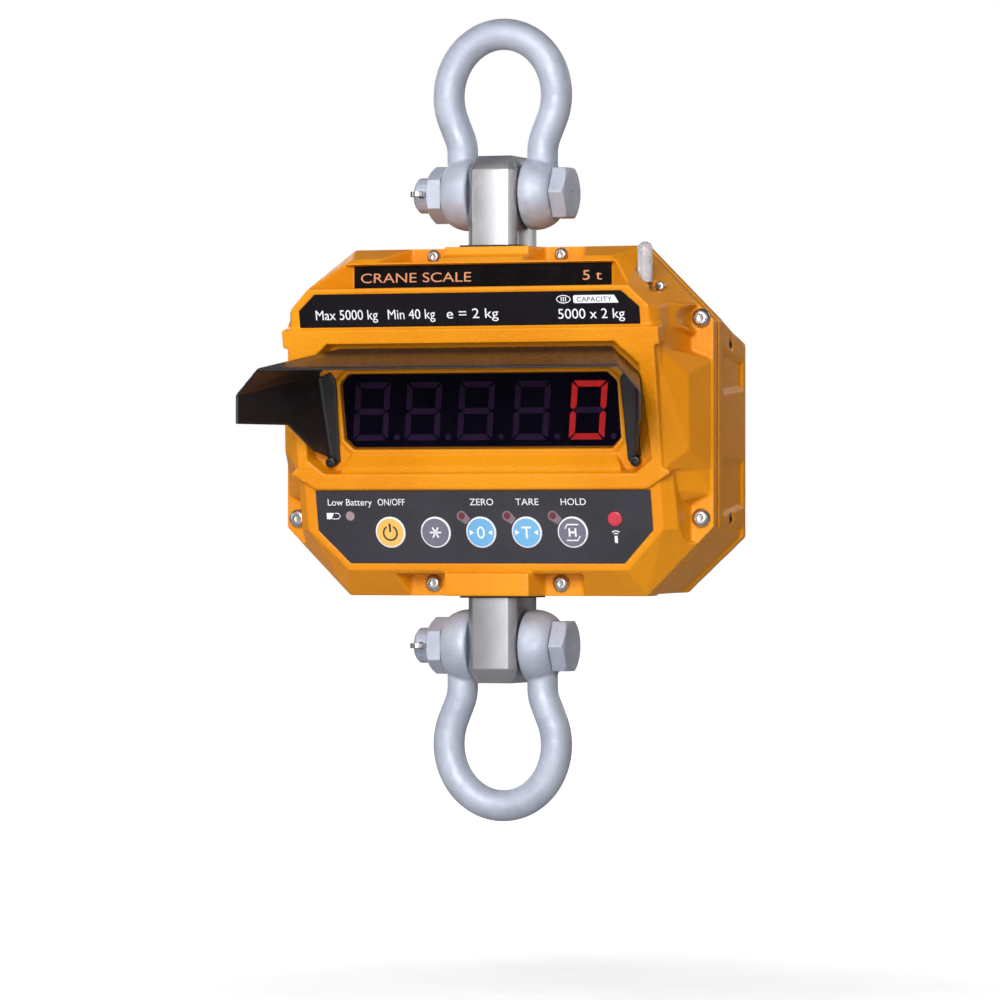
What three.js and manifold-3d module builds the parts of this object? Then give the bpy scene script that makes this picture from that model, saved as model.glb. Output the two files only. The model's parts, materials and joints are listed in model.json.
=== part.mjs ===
// Crane scale: a cast two-part housing round a steel load-cell bar that hangs between two bow shackles.
// Millimetres. X runs to the right seen from the front, Y to the back, Z up.
// The origin is where the crane hook seats, inside the crown of the upper bow.
import * as THREE from 'three';
import { ConvexGeometry } from 'three/addons/geometries/ConvexGeometry.js';
import { mergeVertices } from 'three/addons/utils/BufferGeometryUtils.js';
import Module from 'manifold-3d';

const wasm = await Module();
wasm.setup();

// ---- driving dimensions ----
const GAP = 0.3;                      // clearance between touching pieces
const SIDES = [-1, 1];

// shackles
const BOW_ROD = 22;                   // diameter of the bow's bar
const BOW_INSIDE = 58;                // clear width inside the bow
const BOW_ARCH = { centre: -32, leanAngle: THREE.MathUtils.degToRad(22), returnRadius: 28 };
const PIN_DEPTH = 101;                // crown inside to pin axis
const LEG_END = -83;                  // height where the bow's bar ends inside its ears
const CROWN_POINTS = 8;
const PIN_DIAMETER = 25;
const EAR_INNER = 19.5;               // inner face of an ear, from the middle
const EAR_OUTER = 40;
const EAR_RADIUS = 25.5;
const HEX_ACROSS_FLATS = 35;
const BOLT_HEAD = 12;
const NUT_THICKNESS = 11;
const BOLT_END = -63;                 // tip of the bolt, beyond the nut
const COTTER_X = -56.5;

// load-cell bar
const CELL = { halfX: 18, halfY: 25.5, top: -75, bottom: -443 };
const CELL_EDGE = 5;                  // chamfer of the long edges
const CELL_END = 10;                  // height of the end chamfers
const UPPER_PIN_Z = -PIN_DEPTH;
const LOWER_PIN_Z = CELL.bottom + 26;

// housing outline at the rim, shared by the cover, the gasket and the rear shell
const RIM = { half: 158.5, top: -139, bottom: -382, topCut: [52, 52], bottomCut: [48, 48] };
const FLANGE = 10;                    // thickness of the cover's flange
const FLANGE_WIDTH = 14;
const REAR_FRONT = 2;                 // rear shell starts behind the gasket
const REAR_BACK = 64;
const REAR = { half: 157.5, top: -141, bottom: -380, topCut: [73, 65], bottomCut: [42, 39] };
const REAR_RIM = { half: 158.3, depth: 6 };   // full-height strip along the rear shell's back edge
const REAR_SHELL = { frontHalf: 156.8, backHalf: 156, wall: 8, floor: 5 };
const SIDE_PADS = [                   // z of a pad's corners: front top, back top, front low, back low
  [-188, -204, -214, -222], [-238, -234, -290, -290], [-323, -316, -333, -337],
];
const SIDE_SCREWS = [['upper', -206.5], ['lower', -328]];
const SIDE_SCREW_Y = 31;
const GASKET_INSET = 0.8;

// leaning front face: a plane that faces a little downward
const LEAN = THREE.MathUtils.degToRad(12.5);
const FACE_Z = -255;                  // where the face frame's origin sits
const FACE_Y = -55.4;
const FACE_HALF = 131;
const CROWN = { half: 95.5, y: -43, z: -147 };   // front edge of the roof
const FRAME_PROUD = 3;                // display frame stands this far off the face
const FRAME_HALF = 134.5;
const BEAM_HALF = 138.2;              // beam above the display, a little wider than the frame
const RECESS = { half: 123, top: 50.2, bottom: -42.5, floor: 9.2 };
const WINDOW = { half: 102, top: 26.5, bottom: -27.2, cut: 7, thickness: 2.2 };
const KEYPAD = { half: 123.6, top: -55, corner: -83.2, low: 101.3, bottom: -106.8, sink: 1.1 };
const LABEL = { half: 125, corner: 73, top: 84.4, high: 112.5, bottom: 61, sink: 0.9 };
const NAME_STRIP = { half: 95, top: -151.8, bottom: -168.4, y: -41 };

// edges of the front cover
const SIDE_WALL = 142;                // where the side wall meets the flange floor
const TRENCH = { top: -178, low: -345, mouth: -75, reach: 170 };   // flange floor left open along each side
const EDGE_HOLLOWS = [[-138, -150.5], [-383, -366.5]];
const SADDLES = [[-139, -152], [-382, -366]];
const SADDLE = { half: 31, foot: 36, front: -33.5 };
const BOSS_HOLLOW = { radius: 9.3, x: 149.6, z: -189.9 };

// seal screw and its clear sleeve, at the upper right corner
const SEAL = {
  x: 128.2, z: -168.5, flat: -34.5, sleeveX: 119.4, sleeveY: -42, sleeveTop: -138, sleeveLow: -166,
  sleeveRadius: 5.2, wireRadius: 0.7,
};

// keys
const KEY_NAMES = ['power_key', 'function_key', 'zero_key', 'tare_key', 'hold_key'];
const KEY_COLOURS = [0xe8b95f, 0x6e6c7d, 0x6eaad7, 0x6eaad7, 0x6e6c7d];
const KEY_PITCH = 33.7;
const KEY_FIRST = -69.6;
const KEY_RADIUS = 11.1;
const KEY_V = -84.6;                  // along the face
const LENS = { x: 96.5, v: -75.3, radius: 5.2 };
const LENS_COLOUR = 0xcd3c4b;

// cover screws: x and z of each axis, and head radius
const SCREWS = [
  ['cover_screw_top_left', -47.3, -144.6, 5],
  ['cover_screw_top_right', 47.3, -144.6, 5],
  ['cover_screw_right_upper', 149.6, -189.9, 6.7],
  ['cover_screw_right_lower', 149.6, -327.8, 6.7],
  ['cover_screw_bottom_right', 47.3, -373.2, 6.2],
  ['cover_screw_bottom_left', -47.3, -373.2, 6.2],
  ['cover_screw_left_lower', -149.6, -327.8, 6.7],
  ['cover_screw_left_upper', -149.6, -189.9, 6.7],
];
const SCREW_SHANK = 3;
const SCREW_HOLE = 3.4;
const SCREW_TIP = 11;

// sun hood
const HOOD = {
  sheet: 1.8,
  back: { y: -47.5, topHalf: 100, topZ: -209.5, sideHalf: 116.8, cutZ: -227.5 },
  front: { y: -133, topHalf: 131, topZ: -225, sideHalf: 147, cutZ: -243, lowZ: -263.4 },
  notch: { y: -83.2, z: -263.4 },
  heel: { y: -57.8, z: -281 },
  flange: { inner: 104.5, low: -292 },
  screw: { x: 112.5, v: -35.8 },      // on the leaning face
};

// battery bay in the back
const BATTERY = { half: 76, top: -220, bottom: -292, front: 29.5, back: 57.5 };
const BAY = { half: 80, top: -216, bottom: -296 };
const DOOR = { half: 88, top: -206, bottom: -300, front: REAR_BACK + 0.4, thickness: 4 };
const HINGE = { y: REAR_BACK + 4.7, z: -305, radius: 4, pin: 1.5, half: 60, door: 29.5 };
const THUMB = { x: 74, z: -211, knob: 8, height: 8, shank: 2.5 };

// inner clamps that hang the housing on the load cell
const CLAMPS = [['upper_cell_clamp', -172], ['lower_cell_clamp', -325]];
const CLAMP = { half: 28, height: 24, back: 58.7, screwX: 20 };

// ---- shape helpers ----
const V3 = (x, y, z) => new THREE.Vector3(x, y, z);

function solid(geometry) {
  const bare = geometry.clone();
  bare.deleteAttribute('normal');
  bare.deleteAttribute('uv');
  const merged = mergeVertices(bare, 1e-3);
  const vertProperties = new Float32Array(merged.attributes.position.array);
  const triVerts = new Uint32Array(merged.index.array);
  const made = new wasm.Manifold(new wasm.Mesh({ numProp: 3, vertProperties, triVerts }));
  if (made.volume() >= 0) return made;
  for (let i = 0; i < triVerts.length; i += 3) triVerts.subarray(i, i + 3).reverse();
  return new wasm.Manifold(new wasm.Mesh({ numProp: 3, vertProperties, triVerts }));
}

function geometryOf(shape) {
  const mesh = shape.getMesh();
  const geometry = new THREE.BufferGeometry();
  geometry.setAttribute('position', new THREE.BufferAttribute(mesh.vertProperties, 3));
  geometry.setIndex(new THREE.BufferAttribute(mesh.triVerts, 1));
  return geometry;
}

const join = (...shapes) => shapes.reduce((whole, shape) => whole.add(shape));
const cut = (shape, ...tools) => tools.reduce((rest, tool) => rest.subtract(tool), shape);

// Convex solid round the points, each [x, y, z].
const hull = (points) => solid(new ConvexGeometry(points.map((p) => V3(...p))));

const box = (x0, x1, y0, y1, z0, z1) => {
  const geometry = new THREE.BoxGeometry(x1 - x0, y1 - y0, z1 - z0);
  return solid(geometry.translate((x0 + x1) / 2, (y0 + y1) / 2, (z0 + z1) / 2));
};

// Outline in x and z, pushed from yFront to yBack.
function prism(outline, yFront, yBack) {
  const shape = new THREE.Shape(outline.map(([x, z]) => new THREE.Vector2(x, z)));
  const geometry = new THREE.ExtrudeGeometry(shape, { depth: yBack - yFront, bevelEnabled: false });
  return solid(geometry.rotateX(Math.PI / 2).translate(0, yBack, 0));
}

// Profile of [radius, height] turned round an axis: 'x', 'y' or 'z', with height along that axis.
function turned(profile, axis, segments) {
  const geometry = new THREE.LatheGeometry(profile.map(([r, h]) => new THREE.Vector2(r, h)), segments);
  if (axis === 'x') geometry.rotateZ(-Math.PI / 2);
  if (axis === 'z') geometry.rotateX(Math.PI / 2);
  return solid(geometry);
}

const rod = (radius, from, to, axis, segments = 12) =>
  turned([[0, from], [radius, from], [radius, to], [0, to]], axis, segments);

// Eight-cornered outline with cut corners, moved inwards by inset.
function octagon({ half, top, bottom, topCut, bottomCut }, inset = 0) {
  const shrink = inset * (2 - Math.SQRT2);
  const x = half - inset;
  const z0 = bottom + inset;
  const z1 = top - inset;
  const [tx, tz] = topCut.map((c) => c - shrink);
  const [bx, bz] = bottomCut.map((c) => c - shrink);
  return [
    [x, z1 - tz], [x - tx, z1], [-x + tx, z1], [-x, z1 - tz],
    [-x, z0 + bz], [-x + bx, z0], [x - bx, z0], [x, z0 + bz],
  ].reverse();
}

const at = (outline, y) => outline.map(([x, z]) => [x, y, z]);
const mirrored = (points) => points.map(([x, ...rest]) => [-x, ...rest]);
const bothSides = (points) => [...points, ...mirrored(points)];

// Places on the leaning face: x across, v up the face, d behind it.
const faceMatrix = new THREE.Matrix4().makeRotationX(LEAN).setPosition(0, FACE_Y, FACE_Z);
const facePoint = ([x, v, d]) => V3(x, d, v).applyMatrix4(faceMatrix).toArray();
const faceHull = (points) => hull(points.map(facePoint));
const onFace = (shape) => solid(geometryOf(shape).applyMatrix4(faceMatrix));
const facePrism = (outline, front, back) => onFace(prism(outline, front, back));
const faceY = (z, depth = 0) => FACE_Y + depth / Math.cos(LEAN) - (z - FACE_Z) * Math.tan(LEAN);

const object = new THREE.Group();
const face = new THREE.Group();       // children lie in the leaning face's own frame
face.position.set(0, FACE_Y, FACE_Z);
face.rotation.x = LEAN;
object.add(face);

const FINISHES = {
  orange: { color: 0xe8961a, roughness: 0.45, metalness: 0 },
  galvanised: { color: 0xbec3d2, roughness: 0.45, metalness: 0.9 },
  nickel: { color: 0xd7d7de, roughness: 0.35, metalness: 1 },
  stainless: { color: 0xc8c4c0, roughness: 0.25, metalness: 1 },
  black: { color: 0x2d2a30, roughness: 0.4, metalness: 0.1 },
  rubber: { color: 0x1c1c1e, roughness: 0.8, metalness: 0 },
  glass: { color: 0x0a0819, roughness: 0.08, metalness: 0 },
  overlay: { color: 0x3c3a44, roughness: 0.35, metalness: 0 },
  board: { color: 0x1f5c34, roughness: 0.5, metalness: 0 },
  cell: { color: 0x35507c, roughness: 0.5, metalness: 0 },
  clear: { color: 0xe6e8ee, roughness: 0.2, metalness: 0 },
};

function addPiece(name, shape, finish, parent = object) {
  const material = new THREE.MeshStandardMaterial(
    typeof finish === 'string' ? FINISHES[finish] : { color: finish, roughness: 0.4, metalness: 0 },
  );
  const piece = new THREE.Mesh(geometryOf(shape), material);
  piece.name = name;
  parent.add(piece);
  return piece;
}

// ---- shackles ----
// Centre line of the bow, in the plane of the pin axis: an oval crown, then on each side a leaning stretch
// that bends back to a straight leg above the ear.
function bowLine() {
  const { centre, leanAngle, returnRadius } = BOW_ARCH;
  const halfWidth = (BOW_INSIDE + BOW_ROD) / 2;
  const halfHeight = BOW_ROD / 2 - centre;
  const legX = (EAR_INNER + EAR_OUTER) / 2;
  const lastAngle = -Math.atan((Math.tan(leanAngle) * halfHeight) / halfWidth);
  const crown = Array.from({ length: CROWN_POINTS + 1 }, (_, i) => {
    const angle = Math.PI / 2 + ((lastAngle - Math.PI / 2) * i) / CROWN_POINTS;
    return [halfWidth * Math.cos(angle), centre + halfHeight * Math.sin(angle)];
  });
  const [leanX, leanZ] = crown[CROWN_POINTS];
  const bendX = legX + returnRadius * (1 - Math.cos(leanAngle));
  const bendZ = leanZ - (leanX - bendX) / Math.tan(leanAngle);
  const bend = [0, 0.5, 1].map((share) => {
    const angle = leanAngle * (1 - share);
    return [
      legX + returnRadius * (1 - Math.cos(angle)),
      bendZ - returnRadius * (Math.sin(leanAngle) - Math.sin(angle)),
    ];
  });
  const side = [...crown, ...bend, [legX, LEG_END]];
  const whole = [...side.slice(1).reverse(), ...mirrored(side)];
  return new THREE.CatmullRomCurve3(whole.map(([x, z]) => V3(x, 0, z)), false, 'centripetal');
}

function circleShape(radius, sides) {
  const corners = Array.from({ length: sides }, (_, i) => {
    const angle = (2 * Math.PI * i) / sides;
    return new THREE.Vector2(radius * Math.cos(angle), radius * Math.sin(angle));
  });
  return new THREE.Shape(corners);
}

// Ear: a drop-forged boss round the bolt hole, flat inside and rounded outside.
function ear(side) {
  const width = EAR_OUTER - EAR_INNER;
  const round = [[0.96, 0], [1, 0.12], [1, 0.45], [0.93, 0.72], [0.8, 0.9], [0.66, 1]];
  const profile = [
    [0, EAR_INNER],
    ...round.map(([r, w]) => [r * EAR_RADIUS, EAR_INNER + w * width]),
    [0, EAR_OUTER],
  ];
  const boss = turned(profile, 'x', 20);
  return side > 0 ? boss : boss.mirror([1, 0, 0]);
}

function bow() {
  const tube = new THREE.ExtrudeGeometry(circleShape(BOW_ROD / 2, 12), {
    steps: 26,
    extrudePath: bowLine(),
    bevelEnabled: false,
  });
  const ears = SIDES.map((side) => ear(side).translate([0, 0, -PIN_DEPTH]));
  const throat = box(-EAR_INNER, EAR_INNER, -30, 30, -130, -70);
  const hole = rod(PIN_DIAMETER / 2 + 0.4, -60, 60, 'x', 20).translate([0, 0, -PIN_DEPTH]);
  const seatRadius = HEX_ACROSS_FLATS / Math.sqrt(3) + 1;
  const seat = rod(seatRadius, EAR_OUTER, 60, 'x', 12).translate([0, 0, -PIN_DEPTH]);
  return cut(join(solid(tube), ...ears), throat, hole, seat, seat.mirror([1, 0, 0]));
}

// Hexagonal prism along X between two places, turned about X, with its outer end rounded off.
function hexagon(inner, outer, turn) {
  const radius = HEX_ACROSS_FLATS / Math.sqrt(3);
  const flat = HEX_ACROSS_FLATS / 2;
  const block = turned([[0, inner], [radius, inner], [radius, outer], [0, outer]], 'x', 6);
  const wide = radius + 1;
  const dome = [[0, inner - 1], [wide, inner - 1], [wide, outer - 2.2], [flat - 0.5, outer], [0, outer]];
  return block.rotate([turn, 0, 0]).intersect(turned(dome, 'x', 18));
}

function bolt() {
  const headEnd = EAR_OUTER + BOLT_HEAD;
  const head = hexagon(EAR_OUTER + GAP, headEnd, 30);
  const dimple = turned([[0, headEnd - 1.5], [2.2, headEnd + 0.2], [0, headEnd + 1]], 'x', 12);
  const shank = rod(PIN_DIAMETER / 2, BOLT_END + 2, EAR_OUTER + 1, 'x', 20);
  const tip = turned([[0, BOLT_END], [PIN_DIAMETER / 2 - 2.5, BOLT_END], [PIN_DIAMETER / 2, BOLT_END + 2.5],
    [0, BOLT_END + 2.6]], 'x', 20);
  const cotterHole = rod(2.3, -20, 20, 'y', 12).translate([COTTER_X, 0, 0]);
  return cut(join(head, shank, tip), dimple, cotterHole);
}

function nut() {
  const block = hexagon(EAR_OUTER + GAP, EAR_OUTER + GAP + NUT_THICKNESS, 0).mirror([1, 0, 0]);
  return cut(block, rod(PIN_DIAMETER / 2 + GAP, -60, -30, 'x', 20));
}

// Split pin through the bolt's end from the front, with its eye in front and its legs spread behind.
function cotter() {
  const stem = rod(1.8, -17, 15, 'z', 10);
  const eye = turned([[2.2, -1.8], [5.4, -1.8], [5.4, 1.8], [2.2, 1.8], [2.2, -1.8]], 'y', 14);
  const leg = rod(1.6, -5.5, 0, 'z', 10).rotate([0, 55, 0]).translate([0, 0, -15.6]);
  const upright = join(stem, eye.translate([0, 0, 18.4]), leg, leg.mirror([1, 0, 0]));
  return upright.rotate([90, 0, 0]).translate([COTTER_X, 0, 0]);
}

function addShackle(prefix, pinZ, upright) {
  const group = new THREE.Group();
  group.position.z = pinZ;
  group.scale.z = upright ? 1 : -1;
  object.add(group);
  addPiece(`${prefix}_shackle_bow`, bow().translate([0, 0, PIN_DEPTH]), 'galvanised', group);
  addPiece(`${prefix}_shackle_bolt`, bolt(), 'galvanised', group);
  addPiece(`${prefix}_shackle_nut`, nut(), 'galvanised', group);
  addPiece(`${prefix}_cotter_pin`, cotter(), 'stainless', group);
}

// ---- load-cell bar ----
function loadCell() {
  const { halfX, halfY, top, bottom } = CELL;
  const ring = (x, y, z, edge) => [[x, y - edge, z], [x - edge, y, z]]
    .flatMap(([px, py]) => [[px, py, z], [-px, py, z], [px, -py, z], [-px, -py, z]]);
  const endX = halfX - CELL_EDGE;
  const endY = halfY - 8;
  const bar = hull([
    ...ring(endX, endY, top, 1),
    ...ring(halfX, halfY, top - CELL_END, CELL_EDGE),
    ...ring(halfX, halfY, bottom + CELL_END, CELL_EDGE),
    ...ring(endX, endY, bottom, 1),
  ]);
  const pinHoles = [UPPER_PIN_Z, LOWER_PIN_Z].map((z) =>
    rod(PIN_DIAMETER / 2 + 1, -30, 30, 'x', 20).translate([0, 0, z]));
  const gaugePocket = rod(15, halfX - 9, halfX + 1, 'x', 12).translate([0, 0, FACE_Z]);
  return cut(bar, ...pinHoles, gaugePocket, gaugePocket.mirror([1, 0, 0]));
}

const gaugeCover = () => rod(14.6, CELL.halfX - 4, CELL.halfX + 1.5, 'x', 12).translate([0, 0, FACE_Z]);

function cellSeal(rimZ, direction) {
  const inner = [CELL.halfX + GAP, CELL.halfY + GAP];
  const ring = (grow, z0, z1) => {
    const x = CELL.halfX + grow;
    const y = CELL.halfY + grow;
    return box(-x, x, -y, y, Math.min(z0, z1), Math.max(z0, z1));
  };
  const body = ring(2.7, rimZ - direction * 12, rimZ + direction * 1);
  const lip = ring(3.4, rimZ + direction * GAP, rimZ + direction * 1.3);
  const bore = box(-inner[0], inner[0], -inner[1], inner[1], rimZ - 30, rimZ + 30);
  return cut(join(body, lip), bore);
}

// ---- front cover ----
// Block between the flange and the leaning face, with a sloping roof above the face.
function coverBlock() {
  const faceOutline = [
    [FACE_HALF, -182.5], [118, -169.5], [FACE_HALF, -336], [103, -364],
  ].map(([x, z]) => [x, faceY(z), z]);
  return hull([
    ...at(octagon(RIM), -FLANGE),
    ...bothSides(faceOutline),
    ...bothSides([[CROWN.half, CROWN.y, CROWN.z]]),
  ]);
}

// Raised pads on the flank, right-hand side: the boss by the label, the large wedge and the lower facet.
function flankPads() {
  const floor = -FLANGE + 1;
  const boss = hull([
    [129, faceY(-180) + 2, -180], [129, faceY(-196) + 2, -196],
    [145.5, -26, -181], [145.5, -24, -197.5],
    [140, floor, -176], [140, floor, -201], [148, floor, -181], [146, floor, -201],
    [129, floor, -176], [129, floor, -201],
  ]).subtract(rod(BOSS_HOLLOW.radius, -60, -8, 'y', 18).translate([BOSS_HOLLOW.x, 0, BOSS_HOLLOW.z]));
  const wedge = hull([
    [132.5, -62, -209.5], [134, -49, -294.5],
    [149.5, -38, -229], [149.5, -36, -281],
    [157.3, floor, -219], [157.3, floor, -295],
    [132, floor, -209.5], [132, floor, -296],
  ]);
  const facet = hull([
    [131, -46, -294], [131, -41, -308],
    [151, -20, -297], [157.3, floor, -294.5], [157.3, floor, -311],
    [140, -22, -316], [131, floor, -294], [141, floor, -319],
    [131, floor, -319],
  ]);
  return join(boss, wedge, facet);
}

// Trench that leaves the flange floor bare beside the pads.
function sideTrench() {
  const { top, low, mouth, reach } = TRENCH;
  return hull([top, low].flatMap((z) => [
    [SIDE_WALL, -FLANGE, z], [reach, -FLANGE, z], [FACE_HALF + 3, mouth, z], [reach, mouth, z],
  ]));
}

// Hollow in the sloping edge that two screws stand in: from z0 to z1, open to the front.
const edgeHollow = (z0, z1) => SIDES.map((side) => hull([
  [side * 33, -FLANGE, z0], [side * 64, -FLANGE, z0], [side * 33, -FLANGE, z1], [side * 64, -FLANGE, z1],
  [side * 31, -46, z0], [side * 76, -46, z0], [side * 31, -46, z1], [side * 76, -46, z1],
]));

// Saddles in front of the load cell, at the top and the bottom edge.
const saddle = (z0, z1) => hull([
  ...bothSides([z0, z1].flatMap((z) => [[SADDLE.half, SADDLE.front, z], [SADDLE.foot, -FLANGE + 1, z]])),
]);

const chamferedWindow = (grow) => {
  const { half, top, bottom, cut: corner } = WINDOW;
  return octagon({
    half: half + grow, top: top + grow, bottom: bottom - grow,
    topCut: [corner, corner], bottomCut: [corner, corner],
  });
};

const keypadOutline = (grow) => bothOrdered([
  [KEYPAD.half + grow, KEYPAD.top + grow],
  [KEYPAD.half + grow, KEYPAD.corner - grow * 0.4],
  [KEYPAD.low + grow * 0.4, KEYPAD.bottom - grow],
]);

const labelOutline = (grow) => bothOrdered([
  [LABEL.high + grow * 0.4, LABEL.top + grow],
  [LABEL.half + grow, LABEL.corner + grow * 0.4],
  [LABEL.half + grow, LABEL.bottom - grow],
]);

// A right-hand edge, listed downwards, closed by its mirror image.
function bothOrdered(edge) {
  return [...edge, ...mirrored(edge).reverse()];
}

function displayRecess() {
  const { half, top, bottom, floor } = RECESS;
  const front = [[half - 17, top], [half, top - 16], [half + 4.5, bottom + 10], [half - 8, bottom]];
  const back = [[half - 20, top - 2], [half - 2.5, top - 18], [half + 2, bottom + 9.5], [half - 9, bottom]];
  return faceHull([
    ...bothSides(front).map(([x, v]) => [x, v, -6]),
    ...bothSides(back).map(([x, v]) => [x, v, floor]),
  ]);
}

// Sloping sill below the window, between the hood's two flanges.
const windowSill = () => faceHull(bothSides([
  [97, -31, RECESS.floor + 1], [97, -31, RECESS.floor - 1], [103, -38, 2], [103, RECESS.bottom - 1, -1.5],
  [103, RECESS.bottom - 1, RECESS.floor + 1],
]));

function displayFrame() {
  const beam = [[BEAM_HALF, 59.6, -FRAME_PROUD], [BEAM_HALF, 47, -FRAME_PROUD]];
  const sides = [[FRAME_HALF, 50.2, -FRAME_PROUD], [FRAME_HALF, -44, -FRAME_PROUD]];
  const upper = faceHull(bothSides([...beam, [BEAM_HALF, 59.6, 10], [BEAM_HALF, 47, 10]]));
  const middle = faceHull(bothSides([...sides, [FRAME_HALF, 50.2, 12], [FRAME_HALF, -44, 12]]));
  const lower = faceHull(bothSides([
    [139.5, -43, -FRAME_PROUD], [122, -53.8, -FRAME_PROUD], [138, -40, -FRAME_PROUD],
    [139.5, -43, 8], [122, -53.8, 8], [138, -40, 8],
  ]));
  return join(upper, middle, lower);
}

function nameRecess() {
  const { half, top, bottom, y } = NAME_STRIP;
  const edge = 0.6;
  return hull([
    ...bothSides([[half + edge, y, top + edge], [half + edge, y, bottom - 0.2]]),
    ...bothSides([[half + 26, y - 36, top + edge], [half + 26, y - 36, bottom - 0.2]]),
  ]);
}

function coverCavity() {
  const upper = hull([
    ...at(octagon(RIM, 20.5), 1),
    ...bothSides([[96, -37, -157.5], [126, -37, -188], [126, -37, -276]]),
    ...bothSides([[119, -24, -335], [100, -20, -355]]),
  ]);
  const behindLabel = hull(bothSides([
    [100, -36.5, -173.5], [100, -60, -173.5], [120, -36.5, -184], [120, -57, -184],
    [120, -36.5, -272], [120, -38.5, -272],
  ]));
  const behindKeys = faceHull(bothSides([
    [118, -58, 5], [118, -83, 5], [99, -102, 5], [118, -58, 22], [118, -83, 22], [99, -102, 22],
  ]));
  return join(upper, behindLabel, behindKeys);
}

const cellSlot = () => {
  const x = CELL.halfX + 3;
  const y = CELL.halfY + 3;
  const upper = box(-x, x, -y, y, RIM.top - 30, RIM.top + 5);
  return join(upper, box(-x, x, -y, y, RIM.bottom - 5, RIM.bottom + 60));
};

const keyPlace = (index) => [KEY_FIRST + index * KEY_PITCH, KEY_V];
const keyHole = (index, radius) => {
  const [x, v] = keyPlace(index);
  return rod(radius, -5, 16, 'y', 18).translate([x, 0, v]);
};
const lensHole = (radius) => rod(radius, -5, 16, 'y', 20).translate([LENS.x, 0, LENS.v]);

const hoodHoles = (radius, back = 20) => SIDES.map((side) =>
  onFace(rod(radius, -20, back, 'y', 12).translate([side * HOOD.screw.x, 0, HOOD.screw.v])));

function frontCover() {
  const flange = prism(octagon(RIM), -FLANGE, 0);
  const pads = flankPads();
  const carved = cut(coverBlock(), sideTrench(), sideTrench().mirror([1, 0, 0]), nameRecess(),
    ...EDGE_HOLLOWS.flatMap(([z0, z1]) => edgeHollow(z0, z1)));
  const saddles = SADDLES.map(([z0, z1]) => saddle(z0, z1));
  const solids = join(flange, carved, displayFrame(), pads, pads.mirror([1, 0, 0]), ...saddles);
  const bezel = facePrism(chamferedWindow(2.2), RECESS.floor - 1.6, RECESS.floor + 1);
  const opened = join(cut(solids, displayRecess()), windowSill(), bezel);
  const rebate = facePrism(chamferedWindow(GAP), RECESS.floor - 4, RECESS.floor + 2.4);
  const glassHole = facePrism(chamferedWindow(-4), -10, 30);
  const keyRecess = facePrism(keypadOutline(GAP), -10, KEYPAD.sink);
  const labelRecess = facePrism(labelOutline(GAP), -10, LABEL.sink);
  const keyHoles = KEY_NAMES.map((_, i) => onFace(keyHole(i, KEY_RADIUS + 0.6)));
  const screwHoles = SCREWS.map(([, x, z]) => rod(SCREW_HOLE, -20, 5, 'y', 10).translate([x, 0, z]));
  const sealHole = join(
    rod(4.4, -80, SEAL.flat, 'y', 10).translate([SEAL.x, 0, SEAL.z]),
    rod(1.8, -80, SEAL.flat + 6, 'y', 12).translate([SEAL.x, 0, SEAL.z]),
    rod(6.3, SEAL.sleeveLow - 6, -120, 'z', 16).translate([SEAL.sleeveX, SEAL.sleeveY, 0]),
  );
  return cut(opened, coverCavity(), rebate, glassHole, keyRecess, labelRecess, ...keyHoles,
    onFace(lensHole(LENS.radius + 0.5)), ...screwHoles, ...hoodHoles(2.3), sealHole, cellSlot());
}

// ---- pieces on the front ----
function keypadOverlay() {
  const sheet = prism(keypadOutline(0), 0, KEYPAD.sink - GAP);
  const holes = KEY_NAMES.map((_, i) => keyHole(i, KEY_RADIUS + GAP));
  return cut(sheet, ...holes, lensHole(LENS.radius + GAP));
}

function key() {
  const top = -0.9;
  const outline = [[0, 1], [KEY_RADIUS, 1], [KEY_RADIUS, -0.3], [KEY_RADIUS - 0.7, top], [0, top]];
  const cap = turned(outline, 'y', 20);
  return join(cap, rod(4, 0.5, 6, 'y', 10));
}

const keyBoard = () => prism(bothOrdered([[112, -60], [112, -84], [95, -99]]), 7, 8.6);

const labelPlate = () => prism(labelOutline(0), 0.1, LABEL.sink - GAP);

function nameStrip() {
  const { half, top, bottom, y } = NAME_STRIP;
  return box(-half, half, y - 0.9, y - GAP, bottom, top);
}

const displayWindow = () => prism(chamferedWindow(0), RECESS.floor, RECESS.floor + WINDOW.thickness - GAP);

function displayModule() {
  const board = prism([[94, 23], [94, -24], [-94, -24], [-94, 23]], 18, 19.6);
  const block = prism([[90, 20], [90, -21], [-90, -21], [-90, 20]], 11.8, 18.5);
  return join(board, block);
}

// Socket button-head screw with its head in front of the flange; head radius r.
function coverScrew(r) {
  const y = -FLANGE - GAP;
  const high = r * 0.62;
  const outline = [
    [0, SCREW_TIP], [SCREW_SHANK, SCREW_TIP], [SCREW_SHANK, y], [r, y], [r, y - high * 0.25],
    [r * 0.86, y - high * 0.7], [r * 0.58, y - high], [0, y - high],
  ];
  const socket = rod(r * 0.36, y - high - 1, y - high + 2.2, 'y', 6);
  return cut(turned(outline, 'y', 14), socket);
}

// ---- sun hood: one folded sheet, open below and at the front ----
// The hood's back edge rests on the floor of the display recess.
const hoodBack = (z) => faceY(z, RECESS.floor) - GAP;

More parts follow.
